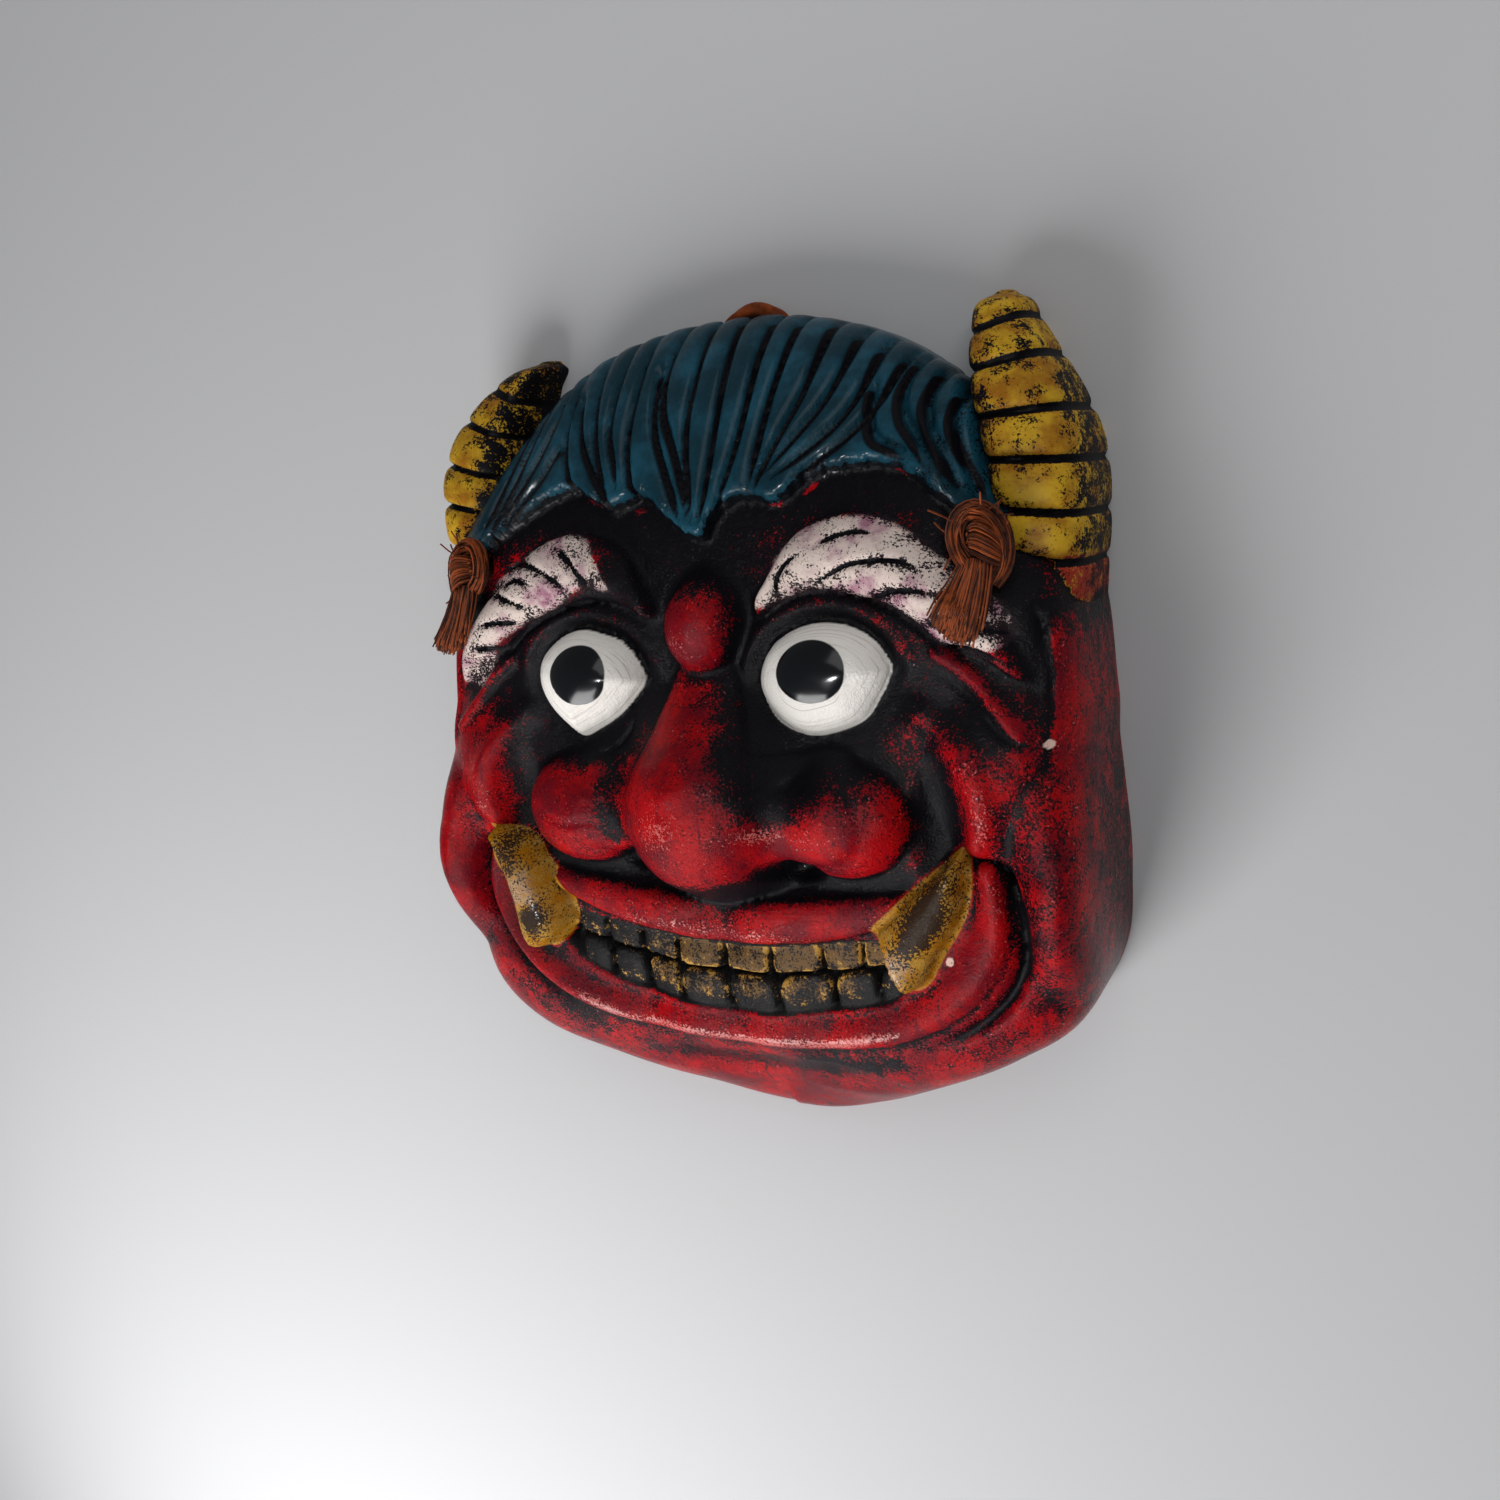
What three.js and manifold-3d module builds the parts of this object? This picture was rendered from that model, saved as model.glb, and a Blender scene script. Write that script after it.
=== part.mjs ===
// An oni mask of moulded clay, painted by hand, lying face up on its back rim.
// Millimetres: X runs across the face, Y from chin to crown, Z out of the face.
// The face is laid out from the line through the pupils, at Y = 0, and the whole
// mask is moved up at the end so that the origin is under the middle of its box.
import * as THREE from 'three';
import { mergeVertices } from 'three/addons/utils/BufferGeometryUtils.js';
import Module from 'manifold-3d';

const wasm = await Module();
wasm.setup();

// Head: the two halves of the back rim, crown to chin, as distance from the middle line and Y.
// The mask was moulded by hand, and its left crown and left jaw are the fuller ones.
const RIM_RIGHT = [
  [0, 85], [26, 80.5], [40, 74.8], [54, 65.5], [70, 50], [82, 33], [88, 10], [89.8, -12],
  [92, -35], [93.3, -60], [92, -78], [86, -91.5], [72, -103], [51, -116], [29, -127.5], [0, -136.5],
];
const RIM_LEFT = [
  [0, 85], [26, 83.5], [40, 79.5], [54, 70.5], [70, 52.5], [82, 33], [88, 10], [89.8, -12],
  [92, -35], [93.3, -60], [93, -80], [89.5, -97.5], [77, -110.5], [53, -120.5], [29, -129.5], [0, -136.5],
];
const HEAD_CENTRE_Y = -25;
const CROWN_HEIGHT = 45;
const CHIN_HEIGHT = 49;
const WALL = 7;
const BOX_MIDDLE_Y = -25.41;

// Roundness of the dome: 2 is an ellipsoid, more gives upright sides
const DOME_ROUND = 2;
const SIDE_SQUARE = 6;
const SIDE_FALL = { crown: 3.2, chin: 1.3 };

// Hair: a cap of locks from the crown to a fringe, and where each lock ends
const HAIR_THICK = 4.8;
const STRANDS = 20;
const STRAND_GROOVE = 1.9;
const CAP_HALF_WIDTH = 58;
const FRINGE = [
  [-72, 30], [-60, 36.8], [-48, 42], [-38, 45.7], [-26, 40], [-15, 41.5], [-6, 33], [-0.5, 31.3],
  [5, 37.5], [15, 40.5], [22, 39.1], [30, 43.4], [44, 45], [52, 43.8], [62, 36.5], [72, 31],
];
const SWEEP = [
  [-58, -71], [-52, -63], [-47, -50], [-43, -31], [-36, -26], [-31, -22], [-22, -7], [0, -0.5],
  [6, 2], [14, 11], [24, 14.5], [34, 20], [39, 29], [42, 47], [46, 58], [52, 65], [58, 71],
];

// Horns: centre line from the temple up to the tip, as X, half width and height over Y.
// The left horn bows out a little further than the right one.
const HORN_FOOT_Y = 7;
const HORN_TIP_Y = 83.5;
const HORN_X_RIGHT = [[7, 78.6], [30, 78.8], [45, 77.8], [56, 74.8], [66, 71.4], [76, 68.5], [84, 67.5]];
const HORN_X_LEFT = [[7, 78.6], [30, 79.9], [45, 80.4], [56, 80.5], [66, 79], [76, 74], [84, 67.5]];
const HORN_HALF = [[7, 10.4], [30, 11.7], [45, 12.2], [56, 11.9], [66, 10.2], [76, 7.5], [81, 5.8], [84, 2]];
const HORN_RISE = [[7, 30], [30, 34], [45, 34], [56, 31], [66, 26], [76, 18.5], [81, 13], [84, 5]];
const HORN_RINGS = [10.3, 21.5, 32.5, 44, 54.5, 66, 75];
const HORN_LEAN = 0.03;
const HORN_BOX = 0.6;
const RING_DEPTH = 0.1;
const RING_HALF = 1.6;

// Face: balls of clay as centre [x, y, z] and half axes
const NOSE = { at: [0, -35.5, 52], half: [20.5, 20.5, 18.5] };
const WING_RIGHT = { at: [36.4, -36.4, 46], half: [15.6, 14.2, 12.5] };
const WING_LEFT = { at: [39, -36.5, 46], half: [18, 14.5, 12.5] };
const FOREHEAD_BUMP = { at: [0, 11, 44.5], half: [9.6, 10, 10] };
const EYE = { at: [33.5, -2, 43], half: [17, 14, 10.5] };
const PUPIL = { at: [33, 0, 52.4], half: [8.2, 7.6, 1.7] };

// Brow: a thick pad of clay, its centre and half width over X
const BROW_Y = [[14, 15], [23, 23], [32, 26], [42, 26], [52, 22.5], [62, 15], [72, 8], [82, -3]];
const BROW_HALF = [[14, 3], [23, 7], [32, 8.5], [42, 9.7], [52, 9.3], [62, 9], [72, 7], [82, 2]];
const BROW_RISE = 5.5;

// Mouth: lips as rolls along their middle lines, teeth in two rows, two fangs
const UPPER_LIP_Y = -65;
const UPPER_LIP_CURVE = 0.0031;
const UPPER_LIP_HALF_LENGTH = 51;
const UPPER_LIP_HALF = 6;
const LOWER_LIP = [
  [-71, -50], [-73, -60.5], [-69, -72], [-60, -83], [-46, -91], [-28, -95], [-8, -96.2],
  [12, -96], [30, -93.8], [45, -89], [57, -81.4], [65.6, -71.4], [70, -60.5], [69.6, -49],
];
const LOWER_LIP_HALF = [[0, 3.2], [0.12, 4], [0.3, 5], [0.5, 5.4], [0.7, 5.6], [0.86, 6.4], [1, 4]];
const LIP_RISE = 3.2;
const TEETH = 7;
const TOOTH_PITCH = 13.6;
const UPPER_TEETH = { top: -68, low: -80.5, rise: -1 };
const LOWER_TEETH = { top: -82, low: -93, rise: -1.8 };
const TOOTH_GAP = 2;
const MOUTH_DEPTH = 4.8;
const MOUTH_HALF = [57, 20];
const CHIN_PAD = { at: [0, -92], half: [27, 30], rise: 7.5 };
const FANG_TIP = [65.5, -42];
const FANG_ROOT = [52.5, -76.5];
const FANG_HALF = [[0, 0.8], [0.25, 5], [0.5, 8.8], [0.72, 10.6], [0.88, 9], [1, 4]];
const FANG_RISE = [[0, 3.5], [0.5, 7.5], [0.8, 8.8], [1, 5.5]];

// Hanging cord: from temple to temple inside the hollow, with a bight over the crown
const CORD_DIAMETER = 4;
const CORD_SIDES = 8;
const CORD_STEPS = 26;
const CORD_HALF = [
  [70.2, 27.8, 35], [70.2, 27.8, 27], [68.5, 31, 17], [62, 38.5, 9], [52.5, 48, 4], [41, 57, 2.6],
  [28, 65.5, 2.5], [17.5, 71, 2.5], [12, 76.5, 2.5], [9.8, 81.4, 2.5], [6.8, 86.2, 2.5],
];
const CORD_TOP = [0, 88.6, 2.5];
const TEMPLE_HOLE = { at: [70.2, 27.8], radius: 3.4 };
const CROWN_ARCH = { radius: 40, top: 9, from: 60, to: 96 };

// Tassels: a knot of threads at each temple and the skirt that hangs from it. Both skirts
// swing a little to the mask's left.
const KNOT = { at: [70.6, 28, 42.6], half: [8.6, 10.6, 5] };
const SKIRT_FROM = [70.6, 23, 44.5];
const SKIRT_TO_RIGHT = [67, 8, 51.5];
const SKIRT_TO_LEFT = [76, 8, 45];
const SKIRT_HALF = [3.8, 6.4];
const SKIRT_THICK = [3.6, 2.4];
const TOUCH_GAP = 0.4;

// A smooth line through a few keys [t, value], level at both ends.
function along(keys, t) {
  const last = keys.length - 1;
  if (t <= keys[0][0]) return keys[0][1];
  if (t >= keys[last][0]) return keys[last][1];
  let i = 0;
  while (t > keys[i + 1][0]) i += 1;
  const slope = (k) => {
    if (k === 0 || k === last) return 0;
    return (keys[k + 1][1] - keys[k - 1][1]) / (keys[k + 1][0] - keys[k - 1][0]);
  };
  const span = keys[i + 1][0] - keys[i][0];
  const f = (t - keys[i][0]) / span;
  const g = 1 - f;
  const level = keys[i][1] * g * g * (1 + 2 * f) + keys[i + 1][1] * f * f * (1 + 2 * g);
  return level + span * f * g * (slope(i) * g - slope(i + 1) * f);
}

// Rim radius, dome height and dome roundness in the direction of an angle from the head's centre.
function polar([x, y]) {
  const rise = y - HEAD_CENTRE_Y;
  return [Math.atan2(rise, x), Math.hypot(x, rise)];
}
const rimRight = RIM_RIGHT.map(polar).reverse();
const rimLeft = RIM_LEFT.map(polar).reverse();

function headAt(angle, sign) {
  const middle = (CROWN_HEIGHT + CHIN_HEIGHT) / 2;
  const fall = angle > 0 ? SIDE_FALL.crown : SIDE_FALL.chin;
  return {
    radius: along(sign < 0 ? rimLeft : rimRight, angle),
    height: middle + (CROWN_HEIGHT - middle) * Math.sin(angle),
    round: DOME_ROUND + SIDE_SQUARE * Math.cos(angle) ** fall,
  };
}

function domeHeight(x, y) {
  const rise = y - HEAD_CENTRE_Y;
  const { radius, height, round } = headAt(Math.atan2(rise, Math.abs(x)), Math.sign(x));
  const out = Math.min(1, Math.hypot(x, rise) / radius);
  return height * (1 - out ** round) ** (1 / round) + chinPad(x, y);
}

// The dome's section in one direction, walked by its length, so that points spread evenly.
const SECTION_STEPS = 60;
const WALL_SPACING = 0.6;
const WALL_FADE = 24;

function sectionPoint(share, { radius, height, round }, inset) {
  const across = radius - inset;
  const up = height - inset;
  const points = [];
  let length = 0;
  for (let i = 0; i <= SECTION_STEPS; i += 1) {
    const turn = (i / SECTION_STEPS) * Math.PI / 2;
    const out = across * Math.sin(turn) ** (2 / round);
    const rise = up * Math.max(0, Math.cos(turn)) ** (2 / round);
    if (i > 0) {
      const before = points[i - 1];
      length += Math.hypot(out - before.out, WALL_SPACING * (rise - before.rise));
    }
    points.push({ out, rise, length });
  }
  points[SECTION_STEPS].rise = 0;
  const target = share * length;
  let k = 1;
  while (k < SECTION_STEPS && points[k].length < target) k += 1;
  const a = points[k - 1];
  const b = points[k];
  const f = (target - a.length) / (b.length - a.length);
  return { out: a.out + (b.out - a.out) * f, rise: a.rise + (b.rise - a.rise) * f };
}

// A square sheet, u and v from -1 to 1, spread over the head from the middle to the rim.
function spread(u, v) {
  const across = u * Math.sqrt(1 - v * v / 2);
  const up = v * Math.sqrt(1 - u * u / 2);
  const share = Math.min(1, Math.hypot(across, up));
  return { share, side: Math.atan2(up, Math.abs(across)), sign: Math.sign(across) };
}

function headPlace(out, side, sign, z) {
  return new THREE.Vector3(sign * out * Math.cos(side), HEAD_CENTRE_Y + out * Math.sin(side), z);
}

// Broad clay forms laid on the dome, or pressed into it where the rise is negative.
function mound(x, y, [cx, cy], [ax, ay], rise) {
  const spread = ((x - cx) / ax) ** 2 + ((y - cy) / ay) ** 2;
  return spread < 1 ? rise * (1 - spread) ** 1.5 : 0;
}

// The pad of clay under the mouth's middle.
function chinPad(x, y) {
  return mound(x, y, CHIN_PAD.at, CHIN_PAD.half, CHIN_PAD.rise);
}

function browRise(side, y) {
  const half = along(BROW_HALF, side);
  const off = (y - along(BROW_Y, side)) / half;
  const inside = side > BROW_Y[0][0] && side < BROW_Y[BROW_Y.length - 1][0] && Math.abs(off) < 1;
  return inside ? BROW_RISE * (1 - off * off) ** 0.7 : 0;
}

function bridgeRise(side, y) {
  const half = along([[-30, 18], [-16, 14], [-4, 10], [8, 6]], y);
  const rise = along([[-30, 17], [-16, 12], [-4, 6], [8, 0]], y);
  return side < half && y > NOSE.at[1] ? rise * Math.sqrt(1 - (side / half) ** 2) : 0;
}

function mouthRise(side, y) {
  const middle = UPPER_LIP_Y - 16 + UPPER_LIP_CURVE * 1.5 * side * side;
  return mound(side, y - middle, [0, 0], MOUTH_HALF, -MOUTH_DEPTH);
}

function relief(x, y) {
  const side = Math.abs(x);
  return mound(side, y, [74, -27], [19, 23], 6.5)
    + mound(side, y, [90, -52], [15, 32], 13)
    + mound(side, y, EYE.at, [25, 20], -3)
    + mound(side, y, [60, -37], [9, 18], -5)
    + mound(side, y, [0, -57], [46, 8], -3)
    + mound(side, y, [77.5, -66], [5, 20], -4)
    + browRise(side, y)
    + bridgeRise(side, y)
    + mouthRise(side, y)
    + chinPad(x, y);
}

// A closed body made by pressing a flat box: the front and the back each take their own shape.
function pressed(columns, rows, place) {
  const geometry = new THREE.BoxGeometry(2, 2, 2, columns, rows, 1);
  geometry.deleteAttribute('normal');
  geometry.deleteAttribute('uv');
  const position = geometry.attributes.position;
  for (let i = 0; i < position.count; i += 1) {
    const point = place(position.getX(i), position.getY(i), position.getZ(i) > 0);
    position.setXYZ(i, point.x, point.y, point.z);
  }
  return geometry;
}

function ball({ at, half }, mirror, columns, rows) {
  const geometry = new THREE.SphereGeometry(1, columns, rows);
  geometry.rotateX(Math.PI / 2);
  geometry.scale(...half);
  geometry.translate(at[0] * mirror, at[1], at[2]);
  return geometry;
}

function signedVolume(positions, triangles) {
  const corner = (i) => new THREE.Vector3().fromArray(positions, triangles[i] * 3);
  let volume = 0;
  for (let i = 0; i < triangles.length; i += 3) {
    volume += corner(i).dot(corner(i + 1).cross(corner(i + 2))) / 6;
  }
  return volume;
}

function toManifold(geometry) {
  const bare = geometry.clone();
  bare.deleteAttribute('normal');
  bare.deleteAttribute('uv');
  const merged = mergeVertices(bare, 1e-4);
  const vertProperties = new Float32Array(merged.attributes.position.array);
  const triVerts = new Uint32Array(merged.index.array);
  if (signedVolume(vertProperties, triVerts) < 0) triVerts.reverse();
  return new wasm.Manifold(new wasm.Mesh({ numProp: 3, vertProperties, triVerts }));
}

function toGeometry(manifold) {
  const { vertProperties, triVerts, numProp } = manifold.getMesh();
  const positions = new Float32Array((vertProperties.length / numProp) * 3);
  for (let i = 0; i < positions.length; i += 1) {
    positions[i] = vertProperties[Math.floor(i / 3) * numProp + (i % 3)];
  }
  const geometry = new THREE.BufferGeometry();
  geometry.setAttribute('position', new THREE.BufferAttribute(positions, 3));
  geometry.setIndex(new THREE.BufferAttribute(new Uint32Array(triVerts), 1));
  geometry.computeVertexNormals();
  return geometry;
}

// Face
const FACE_COLUMNS = 31;
const FACE_ROWS = 33;
const RIM_BAND = 0.86;

function face() {
  return pressed(FACE_COLUMNS, FACE_ROWS, (u, v, front) => {
    const { share, side, sign } = spread(u, v);
    if (!front) {
      const out = share * headAt(side, sign).radius;
      return headPlace(out, side, sign, share > RIM_BAND ? 0 : WALL);
    }
    const { out, rise } = sectionPoint(share, headAt(side, sign), 0);
    const point = headPlace(out, side, sign, rise);
    point.z += relief(point.x, point.y) * Math.min(1, rise / WALL_FADE);
    return point;
  });
}

// Hair
const STRAND_COLUMNS = 3;
const HAIR_ROWS = 6;
const HAIR_ROOT = 6;
const CROWN_LIP = 1.6;

function hair() {
  return pressed(STRANDS * STRAND_COLUMNS, HAIR_ROWS, (u, v, front) => {
    const crownX = u * CAP_HALF_WIDTH;
    const tipX = along(SWEEP, crownX);
    const tipY = along(FRINGE, tipX);
    const up = 1 - ((1 - v) / 2) ** 1.8;
    const bend = 1 - (1 - up) ** 1.6;
    const x = tipX + (crownX - tipX) * bend;
    const y = tipY + (rimY(crownX) + CROWN_LIP - tipY) * up;
    const under = domeHeight(x, y - CROWN_LIP * up);
    const strand = ((u + 1) / 2) * STRANDS;
    const groove = Math.abs(strand - Math.round(strand)) < 0.1 ? STRAND_GROOVE : 0;
    const crownFade = Math.min(1, (1 - up) / 0.1);
    const thick = (HAIR_THICK - groove) * crownFade;
    return new THREE.Vector3(x, y, under + (front ? thick : -HAIR_ROOT * crownFade));
  });
}

// The rim's Y at one X of the crown.
function rimY(x) {
  let low = 0;
  let high = CROWN_HEIGHT * 3;
  for (let i = 0; i < 40; i += 1) {
    const y = (low + high) / 2;
    const reach = headAt(Math.atan2(y, Math.abs(x)), Math.sign(x)).radius;
    if (Math.hypot(x, y) < reach) low = y;
    else high = y;
  }
  return HEAD_CENTRE_Y + low;
}

// Horns
const HORN_ARCH = 5;

function horn(mirror) {
  const rings = HORN_RINGS.flatMap((ring) => [ring - RING_HALF, ring, ring + RING_HALF]);
  const stations = [HORN_FOOT_Y, ...rings, 80, 82.5, HORN_TIP_Y];
  const steps = stations.length - 1;
  const line = mirror < 0 ? HORN_X_LEFT : HORN_X_RIGHT;
  return pressed(steps, HORN_ARCH, (u, v, front) => {
    const y = stations[Math.round((u + 1) / 2 * steps)];
    const ring = HORN_RINGS.includes(y) ? 1 - RING_DEPTH : 1;
    const turn = (v + 1) / 2 * Math.PI;
    const half = along(HORN_HALF, y) * ring;
    const lift = front ? along(HORN_RISE, y) * ring * Math.sin(turn) ** HORN_BOX : 0;
    const off = Math.sign(Math.cos(turn)) * Math.abs(Math.cos(turn)) ** HORN_BOX;
    const x = along(line, y) - half * off + HORN_LEAN * lift;
    return new THREE.Vector3(mirror * x, y, lift);
  });
}

// Lips: a roll of clay along a curve, its width and height set by the place along it.
const LIP_SINK = 5;

function roll(curve, steps, arch, halfAt, rise) {
  return pressed(steps, arch, (u, v, front) => {
    const share = (u + 1) / 2;
    const middle = curve.getPoint(share);
    const ahead = curve.getTangent(share);
    const half = halfAt(share);
    const x = middle.x - ahead.y * half * v;
    const y = middle.y + ahead.x * half * v;
    const base = domeHeight(middle.x, middle.y);
    const lift = rise * Math.sqrt(1 - v * v) * Math.min(1, half / 4);
    return new THREE.Vector3(x, y, front ? base + lift : base - LIP_SINK);
  });
}

function upperLip() {
  const points = [];
  for (let i = -4; i <= 4; i += 1) {
    const x = (UPPER_LIP_HALF_LENGTH * i) / 4;
    points.push(new THREE.Vector3(x, UPPER_LIP_Y + UPPER_LIP_CURVE * x * x, 0));
  }
  const halfAt = (share) => UPPER_LIP_HALF * (1 - Math.abs(2 * share - 1) ** 4 * 0.5);
  return roll(new THREE.CatmullRomCurve3(points), 12, 4, halfAt, LIP_RISE);
}

function lowerLip() {
  const points = LOWER_LIP.map(([x, y]) => new THREE.Vector3(x, y, 0));
  const halfAt = (share) => along(LOWER_LIP_HALF, share);
  return roll(new THREE.CatmullRomCurve3(points), 26, 4, halfAt, LIP_RISE);
}

// Teeth: one row is a bar whose front dips between the teeth.
const TOOTH_COLUMNS = 3;
const TOOTH_ROWS = 2;

function teethRow({ top, low, rise }) {
  return pressed(TEETH * TOOTH_COLUMNS, TOOTH_ROWS, (u, v, front) => {
    const x = u * TEETH * TOOTH_PITCH / 2;
    const curve = UPPER_LIP_CURVE * x * x;
    const y = (top + low) / 2 + (top - low) / 2 * v + curve;
    const tooth = ((u + 1) / 2) * TEETH;
    const gap = Math.abs(tooth - Math.round(tooth)) < 0.1 ? TOOTH_GAP : 0;
    const base = domeHeight(x, y) + rise;
    return new THREE.Vector3(x, y, front ? base - gap : base - LIP_SINK);
  });
}

// Fangs: a leaf with a round root and a point towards the cheek.
function fang(mirror) {
  const axis = new THREE.Vector2(FANG_ROOT[0] - FANG_TIP[0], FANG_ROOT[1] - FANG_TIP[1]);
  const across = new THREE.Vector2(-axis.y, axis.x).normalize();
  return pressed(8, 4, (u, v, front) => {
    const share = (u + 1) / 2;
    const half = along(FANG_HALF, share) * v;
    const x = FANG_TIP[0] + axis.x * share + across.x * half;
    const y = FANG_TIP[1] + axis.y * share + across.y * half;
    const lift = along(FANG_RISE, share) * (1 - 0.45 * v * v);
    return new THREE.Vector3(mirror * x, y, domeHeight(x, y) + (front ? lift : -LIP_SINK));
  });
}

// Hollow behind the face, open at the back: it follows the dents of the face and the
// chin's pad, and a deeper pocket lies behind the nose.
const HOLLOW_STEPS = 16;
const BELOW_RIM = 12;
const POCKET = { at: [0, -33], half: [21, 19], rise: 14 };

function hollow() {
  return pressed(HOLLOW_STEPS, HOLLOW_STEPS, (u, v, front) => {
    const { share, side, sign } = spread(u, v);
    const { out, rise } = sectionPoint(share, headAt(side, sign), WALL);
    const point = headPlace(out, side, sign, rise);
    const pocket = mound(point.x, point.y, POCKET.at, POCKET.half, POCKET.rise);
    const pad = chinPad(point.x, point.y);
    const dent = Math.min(0, relief(point.x, point.y) - pad);
    const shift = (pocket + pad + dent) * Math.min(1, rise / WALL_FADE);
    point.z = front ? rise + shift : -BELOW_RIM;
    return point;
  });
}

function templeHole(mirror) {
  const geometry = new THREE.CylinderGeometry(TEMPLE_HOLE.radius, TEMPLE_HOLE.radius, 60, 10);
  geometry.rotateX(Math.PI / 2);
  geometry.translate(mirror * TEMPLE_HOLE.at[0], TEMPLE_HOLE.at[1], 40);
  return geometry;
}

function crownArch() {
  const { radius, top, from, to } = CROWN_ARCH;
  const geometry = new THREE.CylinderGeometry(radius, radius, to - from, 48);
  geometry.translate(0, (from + to) / 2, top - radius);
  return geometry;
}

function buildMask() {
  const clay = [face(), hair(), upperLip(), lowerLip(), teethRow(UPPER_TEETH), teethRow(LOWER_TEETH)];
  clay.push(ball(NOSE, 1, 16, 10), ball(FOREHEAD_BUMP, 1, 10, 8));
  for (const mirror of [-1, 1]) {
    clay.push(horn(mirror), fang(mirror), ball(mirror < 0 ? WING_LEFT : WING_RIGHT, mirror, 12, 8));
    clay.push(ball(EYE, mirror, 14, 8), ball(PUPIL, mirror, 10, 4));
  }
  let body = toManifold(clay[0]);
  for (const piece of clay.slice(1)) body = body.add(toManifold(piece));
  const cuts = [hollow(), templeHole(-1), templeHole(1), crownArch()];
  for (const cut of cuts) body = body.subtract(toManifold(cut));
  return body;
}

// Tassel: knot and skirt in one, resting a hair above the clay.
function tassel(mirror, clay) {
  const from = new THREE.Vector3(...SKIRT_FROM);
  const to = new THREE.Vector3(...(mirror < 0 ? SKIRT_TO_LEFT : SKIRT_TO_RIGHT));
  const skirt = pressed(4, 3, (u, v, front) => {
    const share = (1 - v) / 2;
    const middle = from.clone().lerp(to, share);
    const half = SKIRT_HALF[0] + (SKIRT_HALF[1] - SKIRT_HALF[0]) * share;
    const thick = SKIRT_THICK[0] + (SKIRT_THICK[1] - SKIRT_THICK[0]) * share;
    const lift = thick * (1 - 0.6 * u * u);
    const x = mirror * (middle.x + half * u);
    return new THREE.Vector3(x, middle.y, middle.z + (front ? lift : -lift));
  });
  const raised = clay.clone().translate(0, 0, TOUCH_GAP);
  const body = toManifold(ball(KNOT, mirror, 10, 6)).add(toManifold(skirt));
  return body.subtract(toManifold(raised));
}

function cord() {
  const left = CORD_HALF.map(([x, y, z]) => new THREE.Vector3(-x, y, z)).reverse();
  const right = CORD_HALF.map((point) => new THREE.Vector3(...point));
  const path = new THREE.CatmullRomCurve3([...right, new THREE.Vector3(...CORD_TOP), ...left]);
  const section = new THREE.Shape();
  for (let i = 0; i < CORD_SIDES; i += 1) {
    const turn = (i / CORD_SIDES) * Math.PI * 2;
    const x = Math.cos(turn) * CORD_DIAMETER / 2;
    const y = Math.sin(turn) * CORD_DIAMETER / 2;
    if (i === 0) section.moveTo(x, y);
    else section.lineTo(x, y);
  }
  const options = { steps: CORD_STEPS, bevelEnabled: false, extrudePath: path };
  return new THREE.ExtrudeGeometry(section, options);
}

const paintedClay = new THREE.MeshStandardMaterial({ color: 0x8c2226, roughness: 0.42, metalness: 0 });
const rustThread = new THREE.MeshStandardMaterial({ color: 0x96502a, roughness: 0.75, metalness: 0 });

const oniMask = new THREE.Group();
oniMask.position.y = -BOX_MIDDLE_Y;

function addPiece(name, geometry, material) {
  const mesh = new THREE.Mesh(geometry, material);
  mesh.name = name;
  oniMask.add(mesh);
}

const maskGeometry = toGeometry(buildMask());
addPiece('mask', maskGeometry, paintedClay);
addPiece('left_tassel', toGeometry(tassel(-1, maskGeometry)), rustThread);
addPiece('right_tassel', toGeometry(tassel(1, maskGeometry)), rustThread);
addPiece('hanging_cord', cord(), rustThread);

export default oniMask;
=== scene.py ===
# %% [markdown]
# # An oni mask of painted clay
# The mask is one piece of moulded clay, hollow behind, with two thread tassels and a cord to
# hang it by. It lies face up on its back rim. We load the measured solids first, because every
# piece that we model has to sit where they are.

# %% Load the measured solids
import math

import bmesh
import bpy
import numpy as np
from mathutils import Matrix, Vector


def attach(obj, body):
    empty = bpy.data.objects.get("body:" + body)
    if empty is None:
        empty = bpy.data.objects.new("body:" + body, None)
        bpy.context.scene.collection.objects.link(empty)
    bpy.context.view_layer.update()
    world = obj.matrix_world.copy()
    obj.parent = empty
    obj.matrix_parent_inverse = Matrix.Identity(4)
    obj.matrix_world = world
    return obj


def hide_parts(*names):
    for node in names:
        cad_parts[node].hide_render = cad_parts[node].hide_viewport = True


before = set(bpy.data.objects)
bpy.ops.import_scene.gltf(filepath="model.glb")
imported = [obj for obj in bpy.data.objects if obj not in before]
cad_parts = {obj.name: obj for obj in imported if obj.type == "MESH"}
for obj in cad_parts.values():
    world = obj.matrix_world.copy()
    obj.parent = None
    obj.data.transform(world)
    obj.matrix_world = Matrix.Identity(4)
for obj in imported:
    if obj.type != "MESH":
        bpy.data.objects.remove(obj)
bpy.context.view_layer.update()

# %% [markdown]
# The face is laid out in millimetres from the line through the pupils: X across, Y towards the
# crown, Z out of the face. One small function moves such a point into the scene's metres, so
# that the numbers below stay the ones a maker would measure with a ruler.

# %% Face millimetres to scene metres
PUPIL_LINE_Y = 25.41
MILLIMETRE = 0.001


def to_scene(points):
    moved = np.array(points, float).reshape(-1, 3)
    moved[:, 1] += PUPIL_LINE_Y
    return moved * MILLIMETRE


print("pupil line at", to_scene([0, 0, 0])[0])

# %% [markdown]
# The camera looks down on the lying mask from its right and a little from the crown's side. It
# could be placed by a location and three angles. We write its matrix instead: a camera looks
# along its own -Z axis, so the matrix holds the picture's right, its up and the way back to the
# viewer, just as the mask is seen.

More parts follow.
